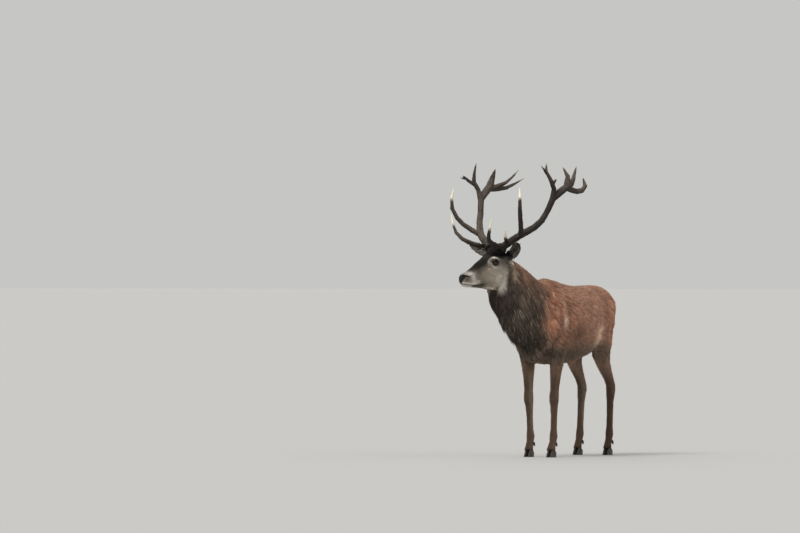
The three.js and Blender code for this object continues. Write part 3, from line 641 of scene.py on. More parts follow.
def legColours(body, normals):
    x, _, z = body.T
    inner = ramp(-normals[:, 0] * np.sign(x), 0.1, 0.8)
    colour = layered(coatColours["leg"], [
        ("legInner", 0.65 * inner * ramp(z, 0.1, 0.35)),
        ("legDark", 0.55 * ramp(-normals[:, 1], 0.35, 0.9)),
        ("legDark", 0.55 * ramp(-z, -0.13, -0.05)),
    ])
    return blended(colour, coatColours["body"] * 0.75 + coatColours["belly"] * 0.25, ramp(z, 0.50, 0.72))


def coatColour(points, normals):
    where = bodyMap(points)
    body, head = where["body"], where["head"]
    colour = blended(trunkColours(body, normals), coatColours["tail"], where["isTail"])
    colour = blended(colour, legColours(body, normals), where["isLeg"])
    colour = blended(colour, neckColours(body, normals, where), ramp(where["neckSide"], -0.13, 0.03))
    colour = blended(colour, faceColours(head), ramp(where["headSide"], -0.016, 0.012))
    # marks on both head and neck: dark under the jaw, a pale patch behind it, pale streaks below the ear
    fold = mirrored(head) + 0.009 * softNoise(head, 0.016, 35)[:, None]
    slant, up = cheekBack(fold), fold[:, 2]
    under = ramp(-slant, -0.066, -0.044) * ramp(-up, 0.186, 0.198) * (where["headSide"] > -0.20)
    jaw = between(slant, 0.046, 0.070, 0.102, 0.134) * between(up, -0.235, -0.150, -0.165, -0.120)
    colour = layered(colour, [
        ("maneDeep", 0.80 * under),
        ("jawPale", 0.66 * jaw),
        ("earTuft", 0.70 * blob(fold, (-0.142, 0.084, 0.002), (0.013, 0.040, 0.026))),
        ("nape", 0.45 * blob(fold, *napePatch)),
    ])
    return blended(colour, earColours(where, normals), where["isEar"])


# The skin.

skinPlan = {
    "voxel": 0.004, "grow": 0.0011, "facetRounds": 16, "bodyRounds": 90, "legRounds": 10,
    "bodyTriangles": 78000, "eyeZone": 0.043, "noseFrom": 0.165, "mouthFrom": 0.095,
}


def skinBase():
    # the eyes are in the shell too, so that the skin runs over them and the lids can be cut from it
    mesh = voxelSkin(fleshNodes + ["eye_left", "eye_right"], skinPlan["grow"], skinPlan["voxel"], "skin")
    points, faces, edges = pointsOf(mesh), cornersOf(mesh, 4), edgesOf(mesh)
    print("skin shell:", len(points), "points")
    points = rounded(points, edges, skinPlan["facetRounds"])
    where = bodyMap(points)
    soft = (1 - ramp(where["headSide"], -0.05, 0.01)) * (1 - where["isLeg"]) * (1 - where["isTail"])
    points = relaxed(points, edges, skinPlan["bodyRounds"], 0.5 * soft)
    points = relaxed(points, edges, skinPlan["legRounds"], 0.4 * where["isLeg"])
    normals = normalsAt(points, faces)
    depth = relaxed(depthAt(bodyMap(points), normals)[:, None], edges, 30)[:, 0]
    points = points - normals * depth[:, None]
    points = relaxed(points, edges, 12, 0.4 * soft)
    points = shapedBody(points, faces, edges)
    mesh.vertices.foreach_set("co", points.astype(np.float32).ravel())
    face = (where["headSide"] > -0.015) & (where["head"][:, 0] > -0.06)
    thin = np.flatnonzero(~face)
    headTriangles = 2 * (1 - thin.size / len(points)) * len(faces)
    ratio = (headTriangles + skinPlan["bodyTriangles"]) / (2 * len(faces))
    return evaluated(mesh, "skin", "DECIMATE", ratio=ratio, thinned=thin)


def refinedNear(mesh, picker):
    # splits every edge whose two ends are picked
    work = bmesh.new()
    work.from_mesh(mesh)
    work.verts.ensure_lookup_table()
    points = np.array([vertex.co for vertex in work.verts])
    picked = picker(headPlaces(points))
    for vertex, pick in zip(work.verts, picked):
        vertex.tag = bool(pick)
    edges = [edge for edge in work.edges if edge.verts[0].tag and edge.verts[1].tag]
    bmesh.ops.subdivide_edges(work, edges=edges, cuts=1, use_grid_fill=True)
    bmesh.ops.triangulate(work, faces=work.faces)
    work.to_mesh(mesh)
    work.free()


def eyeAxes(side):
    # ahead along the lids, up across them, and out of the head
    sign = 1 if side == "left" else -1
    out = unit(np.array([0.24, sign, 0.06]))
    fore = np.array([1.0, 0.0, -0.20])
    fore = unit(fore - out * (fore @ out))
    up = np.cross(out, fore) * sign
    return np.array([fore, up * np.sign(up[2]), out]) @ headAxes


lids = {
    "front": 0.0205, "back": 0.0180, "top": 0.0138, "bottom": 0.0122,  # reach from the eye's middle
    "lift": 0.0021, "sunk": 0.006, "zone": 0.048,
}


def lidPlaces(points, side):
    # distance from the eye's middle, and places over the lids as if drawn on their ball
    spot = (points - eyePlaces[side]) @ eyeAxes(side).T
    distance = np.linalg.norm(spot, axis=1)
    ball = spot / np.maximum(distance, 1e-6)[:, None] * (eyeRadius + lids["lift"])
    wide = np.where(ball[:, 0] > 0, lids["front"], lids["back"])
    tall = np.where(ball[:, 1] > 0, lids["top"], lids["bottom"])
    reach = np.sqrt((ball[:, 0] / wide) ** 2 + (ball[:, 1] / tall) ** 2)
    near = (distance < lids["zone"]) & (ball[:, 2] > 0)
    return distance, ball, reach, near


# Each swelling or hollow of the body: middle (left, back, up), radii and height, in millimetres.
bodyForms = {
    "flankHollow": ((210, 610, 1010), (90, 80, 95), -13),
    "hipBone": ((170, 655, 1150), (70, 50, 55), 9),
    "behindShoulder": ((215, -10, 960), (80, 34, 150), -8),
    "shoulder": ((205, -90, 1010), (90, 60, 130), 8),
    "bladeTop": ((120, -15, 1190), (60, 45, 70), 6),
    "thigh": ((215, 760, 960), (80, 80, 130), 9),
    "beforeThigh": ((190, 660, 860), (70, 34, 90), -9),
    "ribs": ((235, 330, 930), (80, 170, 110), 5),
    "rumpBone": ((150, 880, 1060), (60, 50, 70), 5),
    "behindThigh": ((120, 855, 930), (60, 30, 120), -5),
    "neckRoot": ((190, -150, 1120), (80, 40, 110), -6),
    "elbow": ((150, 30, 820), (60, 60, 60), 7),
}
legForm = {
    "rowHeight": 0.02, "rowsTo": 0.64, "top": 0.62,
    "from": (0.12, 0.17), "foreTo": (0.33, 0.40), "hindTo": (0.42, 0.50),
}


def summed(forms, fold):
    # the swellings and hollows of one of the lists, in metres
    return sum(height / 1000 * blob(fold, np.array(middle) / 1000, np.array(radii) / 1000)
               for middle, radii, height in forms.values())


def legTendons(body, normals):
    # a ridge down the front of each lower leg and a groove down its back, placed by the leg's own width
    out = np.zeros(len(body))
    rows = np.arange(0.0, legForm["rowsTo"], legForm["rowHeight"])
    slot = np.clip((body[:, 2] / legForm["rowHeight"]).astype(int), 0, len(rows) - 1)
    rowMiddles = rows + legForm["rowHeight"] / 2
    for isFront, fade in ((True, legForm["foreTo"]), (False, legForm["hindTo"])):
        for _, sign in sides:
            leg = (body[:, 1] < stance["flankMiddle"]) == isFront
            leg &= (body[:, 0] * sign > 0) & (body[:, 2] < legForm["top"])
            spans = [body[leg & (slot == index), 1] for index in range(len(rows))]
            middle = np.array([(span.min() + span.max()) / 2 if span.size else 0.0 for span in spans])
            half = np.array([(span.max() - span.min()) / 2 if span.size else 1.0 for span in spans])
            high = body[leg, 2]
            part = (body[leg, 1] - np.interp(high, rowMiddles, middle)) / np.interp(high, rowMiddles, half)
            ridge = 0.0016 * stripe(part + 0.35, 0.3)
            groove = 0.0042 * stripe(part - 0.22, 0.20) * np.abs(normals[leg, 0])
            out[leg] = (ridge - groove) * ramp(high, *legForm["from"]) * (1 - ramp(high, *fade))
    return out


def shapedBody(points, faces, edges):
    # shoulder, hip and thigh under the hair, the hollow of the flank, and the legs' tendons
    normals = normalsAt(points, faces)
    body = points - withers
    fold = np.abs(body) * [1, 0, 0] + body * [0, 1, 1]
    out = summed(bodyForms, fold) * (1 - ramp(bodyMap(points)["neckSide"], 0.05, 0.16))
    out = out + legTendons(body, normals)
    return points + normals * relaxed(out[:, None], edges, 3)


# Each swelling or hollow of the head: middle and radii (ahead, out, up) and height, in millimetres.
headForms = {
    "brow": ((4, 74, 32), (32, 18, 11), 3.0),
    "beforeEye": ((33, 66, 0), (15, 20, 15), -3.5),
    "temple": ((-40, 72, 4), (22, 30, 20), -4.0),
    "cheekBone": ((-18, 76, -33), (48, 20, 9), 3.0),
    "jawMuscle": ((-50, 72, -105), (46, 32, 52), 5.0),
    "cheekHollow": ((44, 58, -98), (34, 30, 38), -5.0),
    "muzzleHollow": ((128, 42, -62), (58, 24, 20), -4.0),
    "noseRidge": ((110, 10, 2), (90, 12, 20), 1.5),
    "besideRidge": ((70, 46, 10), (30, 18, 16), -3.0),
    "aboveNostril": ((238, 34, -90), (20, 14, 15), 3.5),
    "upperLip": ((214, 40, -128), (40, 22, 13), 2.5),
    "lowerLip": ((222, 26, -161), (36, 18, 9), 1.5),
    "chin": ((225, 0, -166), (26, 22, 12), 2.0),
    "lipSide": ((176, 40, -140), (26, 18, 8), 1.5),
    "mouthCorner": ((108, 46, -150), (12, 16, 12), -2.5),
    "noseCleft": ((262, 0, -112), (12, 4, 26), -1.6),
    "foreheadDip": ((0, 0, 66), (34, 20, 30), -2.0),
    "nosePad": ((262, 0, -104), (16, 34, 26), 4.0),
    "faceCrest": ((84, 58, -60), (30, 14, 12), 2.5),
    "underCheekBone": ((-6, 70, -64), (30, 26, 14), -2.0),
    "foreheadSide": ((30, 40, 48), (34, 16, 20), 2.0),
    "jawEdge": ((60, 50, -168), (60, 18, 12), 1.5),
    "behindCheek": ((-90, 66, -40), (26, 22, 30), -2.0),
}


def carveHead(points, faces):
    normals = normalsAt(points, faces)
    head = headPlaces(points)
    fold = mirrored(head)
    gland, _ = distanceToLine(fold, glandLine)
    gap = fold[:, 2] - mouthHeight(fold[:, 0])
    lips = 0.0012 * (stripe(gap - 0.0070, 0.0042) + stripe(gap + 0.0066, 0.0040))
    lips = (lips - 0.0046 * stripe(gap, 0.0024)) * ramp(fold[:, 0], 0.098, 0.118)
    out = summed(headForms, fold) - 0.0042 * stripe(gland, 0.0036) + lips
    points = points + normals * out[:, None]
    # nostrils go in towards the middle of the nose, with a raised wing round them
    away, along = distanceToLine(mirrored(headPlaces(points)), nostrilLine)
    hole = 0.0120 * (1 - 0.55 * along) * stripe(away, 0.0056 - 0.0028 * along)
    wing = 0.0015 * stripe(away - 0.0095 + 0.004 * along, 0.0032)
    sign = np.sign(head[:, 1])[:, None]
    inward = (nostrilWay * np.hstack([np.ones_like(sign), sign, np.ones_like(sign)])) @ headAxes
    return points + inward * hole[:, None] + normals * wing[:, None]


def openLids(points):
    # sinks the skin over each eye, and leaves lids with a fold above and below
    for side, _ in sides:
        distance, ball, reach, near = lidPlaces(points, side)
        high = ball[:, 1]
        lidRadius = eyeRadius + lids["lift"] + 0.0012 * stripe(reach - 1.18, 0.16)
        crease = 0.0026 * stripe(reach - 1.62, 0.13) * ramp(high, -0.004, 0.004)
        crease = crease + 0.0014 * stripe(reach - 1.55, 0.15) * ramp(-high, -0.002, 0.004)
        cover = np.maximum(distance, lidRadius) - crease * (reach > 1.25)
        radius = np.where(reach < 1, eyeRadius - lids["sunk"], cover)
        moved = ball * (radius / (eyeRadius + lids["lift"]))[:, None]
        points = np.where(near[:, None], eyePlaces[side] + moved @ eyeAxes(side), points)
    return points


def snapLids(points):
    # brings the vertices next to the opening onto its rim, so the lids end in a clean line
    for side, _ in sides:
        _, ball, reach, near = lidPlaces(points, side)
        close = near & (np.abs(reach - 1) < 0.07)
        rim = ball[close]
        rim[:, :2] /= reach[close][:, None]
        flat = (rim[:, :2] ** 2).sum(1)
        rim[:, 2] = np.sqrt(np.maximum((eyeRadius + lids["lift"]) ** 2 - flat, 1e-8))
        points[close] = eyePlaces[side] + rim @ eyeAxes(side)
    return points


def eyeDistance(head):
    return np.linalg.norm(mirrored(head) - np.abs(headPlaces(eyePlaces["left"][None])), axis=1)


def widerZone(head):
    # where the skin is refined once: round the eyes, over the nose and along the lips
    ahead, _, up = head.T
    onLips = (ahead > skinPlan["mouthFrom"]) & (up < -0.13) & (up > -0.175)
    return onLips | (ahead > skinPlan["noseFrom"]) | (eyeDistance(head) < skinPlan["eyeZone"] + 0.016)


def finerZone(head):
    # where it is refined again: lids and nostrils
    nostril, _ = distanceToLine(mirrored(head), nostrilLine)
    return (eyeDistance(head) < skinPlan["eyeZone"]) | (nostril < 0.012)


def buildSkin():
    mesh = skinBase()
    refinedNear(mesh, widerZone)
    refinedNear(mesh, finerZone)
    points, faces, edges = pointsOf(mesh), cornersOf(mesh, 3), edgesOf(mesh)
    head = headPlaces(points)
    overEye = 1 - ramp(eyeDistance(head), 0.030, 0.045)
    points = relaxed(points, edges, 14, 0.5 * np.maximum(ramp(head[:, 0], 0.222, 0.242), overEye))
    points = snapLids(openLids(carveHead(points, faces)))
    reshaped(mesh, points)
    print("skin:", len(faces), "triangles")
    return mesh, points, faces


# Shader helpers.

def newMaterial(name, **values):
    material = bpy.data.materials.new(name)
    material.use_nodes = True
    shader = material.node_tree.nodes["Principled BSDF"]
    for socket, value in values.items():
        shader.inputs[socket.replace("_", " ")].default_value = value
    return material, material.node_tree, shader


def addNode(tree, kind, values=None, **settings):
    # values go to the node's sockets, settings to the node itself
    node = tree.nodes.new(kind)
    for key, value in settings.items():
        setattr(node, key, value)
    for key, value in (values or {}).items():
        node.inputs[key].default_value = value
    return node


def linkAll(tree, pairs):
    for start, end in pairs:
        tree.links.new(start, end)


def newGroup(name, inputs, outputs):
    group = bpy.data.node_groups.new(name, "ShaderNodeTree")
    for socketName, kind, value in inputs:
        socket = group.interface.new_socket(socketName, in_out="INPUT", socket_type=f"NodeSocket{kind}")
        if value is not None:
            socket.default_value = value
    for socketName, kind in outputs:
        group.interface.new_socket(socketName, in_out="OUTPUT", socket_type=f"NodeSocket{kind}")
    return group, group.nodes.new("NodeGroupInput"), group.nodes.new("NodeGroupOutput")


def stored(tree, name, output="Color"):
    # the colour, vector or value that a mesh carries under this name
    return addNode(tree, "ShaderNodeAttribute", attribute_name=name).outputs[output]


def toneGroup():
    # varies a colour's brightness with streaks of a noise laid along the hair
    group, given, made = newGroup(
        "hairTone",
        [("Colour", "Color", (0.5, 0.5, 0.5, 1)), ("Place", "Vector", None), ("Scale", "Float", 60.0),
         ("Amount", "Float", 0.25)],
        [("Colour", "Color"), ("Height", "Float")],
    )
    noise = addNode(group, "ShaderNodeTexNoise", {"Detail": 3.0, "Roughness": 0.6}, noise_dimensions="3D")
    centred = addNode(group, "ShaderNodeMath", {1: 0.5}, operation="SUBTRACT")
    scaled = addNode(group, "ShaderNodeMath", {2: 1.0}, operation="MULTIPLY_ADD")
    shade = addNode(group, "ShaderNodeVectorMath", operation="SCALE")
    linkAll(group, [
        (given.outputs["Place"], noise.inputs["Vector"]),
        (given.outputs["Scale"], noise.inputs["Scale"]),
        (noise.outputs["Fac"], centred.inputs[0]),
        (centred.outputs[0], scaled.inputs[0]),
        (given.outputs["Amount"], scaled.inputs[1]),
        (given.outputs["Colour"], shade.inputs[0]),
        (scaled.outputs[0], shade.inputs["Scale"]),
        (shade.outputs[0], made.inputs["Colour"]),
        (noise.outputs["Fac"], made.inputs["Height"]),
    ])
    return group


hairTone = toneGroup()


def tonedColour(tree, shader, colour, place, scale, amount):
    # sends a colour to the shader through the group, and gives the group for its height
    tone = addNode(tree, "ShaderNodeGroup", node_tree=hairTone)
    tone.inputs["Scale"].default_value = scale
    tone.inputs["Amount"].default_value = amount
    linkAll(tree, [
        (colour, tone.inputs["Colour"]),
        (place, tone.inputs["Place"]),
        (tone.outputs["Colour"], shader.inputs["Base Color"]),
    ])
    return tone


def addRelief(tree, shader, height, strength, distance):
    relief = addNode(tree, "ShaderNodeBump", {"Strength": strength, "Distance": distance})
    linkAll(tree, [(height, relief.inputs["Height"]), (relief.outputs["Normal"], shader.inputs["Normal"])])


def addRoughness(tree, shader, value, low, high):
    # the roughness goes from low to high as the value goes from 0 to 1
    span = addNode(tree, "ShaderNodeMapRange", {"To Min": low, "To Max": high})
    linkAll(tree, [(value, span.inputs["Value"]), (span.outputs["Result"], shader.inputs["Roughness"])])


def coatMaterial(name, roughness=0.78, amount=0.55, scale=3.0, bump=0.35):
    material, tree, shader = newMaterial(name, Roughness=roughness, Specular_IOR_Level=0.12)
    strand = stored(tree, "strand", "Vector")
    tone = tonedColour(tree, shader, stored(tree, "coat"), strand, scale, amount)
    addRelief(tree, shader, tone.outputs["Height"], bump, 0.0008)
    return material


def skinMaterial():
    # short hair, and leathery cells where the skin is bare
    material, tree, shader = newMaterial("skinAndShortHair", Specular_IOR_Level=0.2)
    grain = stored(tree, "grain", "Vector")
    bare = stored(tree, "bare", "Fac")
    tone = tonedColour(tree, shader, stored(tree, "coat"), grain, 260.0, 0.7)
    cells = addNode(tree, "ShaderNodeTexVoronoi", {"Scale": 420.0}, feature="SMOOTH_F1")
    height = addNode(tree, "ShaderNodeMix")
    linkAll(tree, [
        (grain, cells.inputs["Vector"]),
        (bare, height.inputs["Factor"]),
        (tone.outputs["Height"], height.inputs["A"]),
        (cells.outputs["Distance"], height.inputs["B"]),
    ])
    addRelief(tree, shader, height.outputs["Result"], 0.5, 0.0009)
    addRoughness(tree, shader, bare, 0.78, 0.30)
    return material


# The coat: where hairs root, which way they lie, and the tufts and locks themselves.

def rootsOn(skin, weights, count, seed):
    # count roots spread evenly over the skin's triangles, weighted
    points, faces, normals, lie = skin["points"], skin["faces"], skin["normals"], skin["lie"]
    random = np.random.default_rng(seed)
    share = np.cumsum(skin["areas"] * weights)
    picks = (np.arange(count) + random.random(count)) / count * share[-1]
    face = faces[np.searchsorted(share, picks).clip(0, len(faces) - 1)]
    first = np.sqrt(random.random(count))
    second = random.random(count)
    mix = np.stack([1 - first, first * (1 - second), first * second], 1)[:, :, None]
    place = (points[face] * mix).sum(1)
    normal = unit((normals[face] * mix).sum(1))
    way = (lie[face] * mix).sum(1)
    way = unit(way - normal * (way * normal).sum(1, keepdims=True))
    return place, normal, way, random


def combed(place, normal, way, random, plan):
    # turns each way a little, in patches and one by one
    swirl, patch = plan["swirl"], plan["patch"]
    turn = swirl * softNoise(place, patch, 3) + 0.5 * swirl * softNoise(place, patch * 0.4, 4)
    turn = turn + plan["stray"] * random.standard_normal(len(place))
    across = np.cross(normal, way)
    return way * np.cos(turn)[:, None] + across * np.sin(turn)[:, None]


def combedRoots(skin, share, plan, seed):
    place, normal, way, random = rootsOn(skin, share, plan["count"], seed)
    return place, normal, combed(place, normal, way, random, plan), random


def gathered(place, normal, way, random, spacing):
    # hairs cling together in wisps: for each root, the way to its wisp's middle line and the wisp's mark
    cells = np.unique(np.floor(place / spacing).astype(np.int64) @ np.array([1, 4001, 16008001]))
    seeds = np.sort(random.permutation(len(place))[:len(cells)])
    tree = KDTree(len(seeds))
    for index, seed in enumerate(seeds):
        tree.insert(place[seed], index)
    tree.balance()
    wisp = np.array([tree.find(spot)[1] for spot in place])
    pull = place[seeds[wisp]] - place
    pull = pull - normal * (pull * normal).sum(1, keepdims=True)
    pull = pull - way * (pull * way).sum(1, keepdims=True)
    return pull, bell(random, len(seeds))[wisp]


def mixedColour(place, normal, random, reach):
    # colours taken a little to the side of each root, so that strands mix where two colours meet
    return coatColour(place + reach * bell(random, place.shape) * [0.3, 1, 0.6], normal)


def tuftShades(place, random, colour, shades, wisp=0.0):
    # patches, single tufts and wisps differ in brightness, and a little in warmth
    patch, single = shades
    shade = 1 + patch * softNoise(place, 0.045, 5) + 0.6 * patch * softNoise(place, 0.014, 6)
    shade = shade + single * bell(random, len(place)) + wisp
    warm = 0.04 * softNoise(place, 0.07, 7) + 0.03 * bell(random, len(place))
    tint = np.stack([1 + warm, np.ones_like(warm), 1 - warm], 1)
    return colour * tint * shade.clip(0.30, 2.1)[:, None]


def asColumns(values, count):
    # numbers, or one number for all, as columns to go with places
    return (np.broadcast_to(value, count)[:, None] for value in values)


def shortTufts(roots, length, width, lift, thick, pull=0.0):
    # closed four-sided slivers: two root corners in the skin, a ridge and a tip
    place, normal, way = roots
    across = np.cross(normal, way)
    length, width, lift, thick = asColumns((length, width, lift, thick), len(place))
    sunk = place - normal * thick * 0.8
    high = np.sin(lift) * length
    ridge = place + way * length * 0.42 + normal * (high * 0.55 + thick) + 0.35 * pull
    tip = place + way * length * np.cos(lift) + normal * high + pull
    points = np.stack([sunk - across * width / 2, sunk + across * width / 2, ridge, tip], 1)
    pattern = np.array([[0, 3, 2], [1, 2, 3], [0, 2, 1], [0, 1, 3]])
    along = np.array([0, 0, 0.42, 1.0])
    sideways = np.array([-1, 1, 0, 0.0])
    return points, pattern, along, sideways


ringWidths = {2: (0.40, 0.46), 3: (0.36, 0.50, 0.36)}  # half widths of a lock's rings, root to tip


def longLocks(roots, length, width, lift, droop, wave, random, rings=3, pull=0.0):
    # closed three-sided locks that bend: rings of three corners and a tip
    place, normal, way = roots
    count = len(place)
    length, width, lift = asColumns((length, width, lift), count)
    down = np.array([0.0, 0.0, -1.0])
    curl = (random.random((count, 1)) - 0.5) * 2 * wave
    across = np.cross(normal, way)
    rows = []
    for index in range(rings + 1):
        part = index / rings
        rise = np.sin(lift) * (part - 0.42 * part ** 2) * length
        middle = place + way * length * part * (1 - 0.10 * part) + normal * rise
        middle = middle + down * droop * length * part ** 2 + across * curl * length * np.sin(part * 2.6)
        middle = middle + pull * part ** 1.5
        if index == rings:
            rows.append(middle[:, None])
            break
        half = width * ringWidths[rings][index]
        sunk = normal * width * (0.30 if index == 0 else 0.10)
        rows.append(np.stack([middle - across * half - sunk, middle + across * half - sunk,
                              middle + normal * half * 0.62], 1))
    points = np.concatenate(rows, 1)
    pattern = [[0, 1, 2]]
    for ring in range(rings - 1):
        for corner in range(3):
            a, b = ring * 3 + corner, ring * 3 + (corner + 1) % 3
            pattern += [[a, a + 3, b], [b, a + 3, b + 3]]
    last, tip = (rings - 1) * 3, rings * 3
    pattern += [[last + corner, tip, last + (corner + 1) % 3] for corner in range(3)]
    along = np.append(np.repeat(np.arange(rings) / rings, 3), 1.0)
    sideways = np.append(np.tile([-1.0, 1.0, 0.0], rings), 0.0)
    return points, np.array(pattern), along, sideways


def coatMesh(name, parts):
    # joins sets of tufts into one mesh, with colours, strand coordinates and the OFBake map
    made = {"points": [], "faces": [], "colours": [], "strands": [], "maps": []}
    start = 0
    for points, pattern, along, sideways, colour, unwrap, darker in parts:
        count, corners = points.shape[:2]
        fade = (1 - darker) + 2 * darker * along
        mark = (np.arange(count) * 0.618 % 1 * 50)[:, None]  # sets each tuft's streaks apart
        strand = [sideways + mark * 2, along * 0.5 + 0 * mark, mark + 0 * along]
        patch = np.stack([sideways, along * 2 - 1], 1) * 0.0015
        made["points"].append(points)
        made["faces"].append((np.arange(count) * corners)[:, None, None] + pattern + start)
        made["colours"].append(colour[:, None, :] * fade[None, :, None])
        made["strands"].append(np.stack(strand, 2))
        made["maps"].append(unwrap[:, None, :] * 0.992 + 0.004 + patch[None])
        start += count * corners
    for key, sets in made.items():
        made[key] = np.concatenate([rows.reshape(-1, rows.shape[-1]) for rows in sets])
    mesh = meshFrom(name, made["points"], made["faces"], smooth=False)
    storeColour(mesh, "coat", made["colours"].clip(0.002, 1))
    storeVector(mesh, "strand", made["strands"])
    layer = mesh.uv_layers.new(name="OFBake")
    layer.data.foreach_set("uv", made["maps"][made["faces"].ravel()].astype(np.float32).ravel())
    print(name, len(made["faces"]), "triangles")
    return mesh


def roundMap(points, start, end, turnFrom, share=1.0):
    # unwraps a limb: along the line from start to end, and round it from the side turnFrom
    start, end, turnFrom = (np.array(values, float) for values in (start, end, turnFrom))
    axis = unit(end - start)
    away = points - start
    along = (away @ axis) / np.linalg.norm(end - start)
    zero = unit(turnFrom - axis * (axis @ turnFrom))
    angle = np.arctan2(away @ np.cross(axis, zero), away @ zero) / (2 * math.pi) + 0.5
    return np.stack([along.clip(0, 1), share * angle], 1)


def faceMap(body):
    # unwraps the head from nose to nape
    nose, nape = fromHead([0.27, 0, -0.11]) - withers, fromHead([-0.20, 0, -0.03]) - withers
    return roundMap(body, nose, nape, (0, 0, 1))


def trunkMap(body, fromY, toY):
    # half a trunk: along it, running round the rump's curve, and from the back to the belly
    x, y, z = body.T
    middle, curve = stance["rumpMiddle"], stance["rumpCurve"]
    up = z - stance["chestHeight"]
    bent = np.where(y > middle, middle + curve * np.arctan2(y - middle, np.hypot(x, up)), y)
    end = middle + curve * math.pi / 2 if toY > middle else toY
    return np.stack([((bent - fromY) / (end - fromY)).clip(0, 1), np.arctan2(np.abs(x), up) / math.pi], 1)


# Tufts and locks: how many, their size, how they turn in patches (swirl) and one by one (stray), how they
# cling together in wisps, how much patches and single ones differ in shade, and how much roots are darker.
coatPlans = {
    "trunk": {"count": 38500, "length": 0.038, "width": 0.0050, "thick": 0.0011, "swirl": 0.26, "stray": 0.12,
              "patch": 0.07, "wisp": 0.021, "cling": 0.55, "shades": (0.14, 0.22), "fade": 0.26,
              "reach": 0.012},
    "neck": {"count": 18200, "length": 0.130, "width": 0.0072, "swirl": 0.20, "stray": 0.09, "patch": 0.08,
             "wisp": 0.030, "cling": 0.65, "shades": (0.16, 0.22), "fade": 0.24, "reach": 0.040,
             "pale": 0.07, "cheeky": 0.35},
    "head": {"count": 41500, "length": 0.0100, "width": 0.0021, "thick": 0.0005, "swirl": 0.20, "stray": 0.14,
             "patch": 0.05, "shades": (0.20, 0.30), "fade": 0.12},
    "legs": {"count": 30000, "length": 0.0165, "width": 0.0030, "thick": 0.0006, "swirl": 0.16, "stray": 0.12,
             "patch": 0.05, "shades": (0.08, 0.10), "fade": 0.12},
    "ears": {"count": 14000, "length": 0.0120, "width": 0.0021, "thick": 0.0005, "swirl": 0.14, "stray": 0.14,
             "patch": 0.04, "shades": (0.10, 0.16), "fade": 0.12, "pale": 0.26},
    "forelock": {"count": 1500, "length": 0.040, "width": 0.0036, "lift": 0.45, "swirl": 0.8, "stray": 0.40,
                 "patch": 0.03, "shades": (0.12, 0.15), "fade": 0.2,
                 "middle": (-0.035, 0.0, 0.095), "radii": (0.050, 0.040, 0.030)},
    "earTuft": {"count": 320, "length": 0.038, "width": 0.0032, "lift": 0.34, "swirl": 0.3, "stray": 0.15,
                "patch": 0.03, "shades": (0.12, 0.15), "fade": 0.2,
                "middle": (-0.145, 0.080, 0.014), "radii": (0.012, 0.03, 0.014)},
}


def skinTables(points, faces):
    # all that the coat's roots need to know about the skin
    normals = normalsAt(points, faces)
    corners = points[faces]
    areas = np.linalg.norm(np.cross(corners[:, 1] - corners[:, 0], corners[:, 2] - corners[:, 0]), axis=1) / 2
    return {
        "points": points, "faces": faces, "normals": normals, "lie": lieAt(bodyMap(points), normals),
        "areas": areas, "middles": corners.mean(1), "middle": bodyMap(corners.mean(1)),
    }


def trunkCoat(skin, sign, fromY, toY, name, material, seed):
    plan = coatPlans["trunk"]
    where = skin["middle"]
    x, y, z = where["body"].T
    inPart = (x * sign >= 0) & (y >= fromY) & (y < toY)
    share = (1 - where["isHead"]) * (1 - ramp(where["neckSide"], 0.02, 0.12)) * ramp(z, 0.60, 0.68)
    place, normal, way, random = combedRoots(skin, inPart * share, plan, seed)
    pull, mark = gathered(place, normal, way, random, plan["wisp"])
    spot = bodyMap(place)
    depth = depthAt(spot, normal) * (1 + 0.22 * mark)
    uneven = 1 + 0.16 * softNoise(place, 0.05, 8) + 0.10 * bell(random, len(place))
    length = plan["length"] * uneven * (1 + 0.25 * ramp(-normal[:, 2], 0.2, 0.9) + 0.35 * spot["isTail"])
    length = length * (1 - 0.35 * spot["isLeg"])
    lift = np.arcsin((0.92 * depth / length).clip(0.05, 0.6))
    width = plan["width"] * (0.8 + 0.4 * random.random(len(place)))
    parts = shortTufts((place, normal, way), length, width, lift, plan["thick"], plan["cling"] * pull)
    ground = mixedColour(place, normal, random, plan["reach"])
    shades = (plan["shades"][0], plan["shades"][1] * (1 - 0.4 * spot["isTail"]))
    colour = tuftShades(place, random, ground, shades, 0.09 * mark)
    mesh = coatMesh(name, [(*parts, colour, trunkMap(spot["body"], fromY, toY), plan["fade"])])
    return addPiece(name, mesh, material)


def neckMiddle(body):
    # the sideways place of the neck's middle plane, which follows the turned head
    return onLine(-body[:, 1], [(0.10, 0.0), (0.22, -0.020), (0.38, -0.072), (0.50, -0.105)])


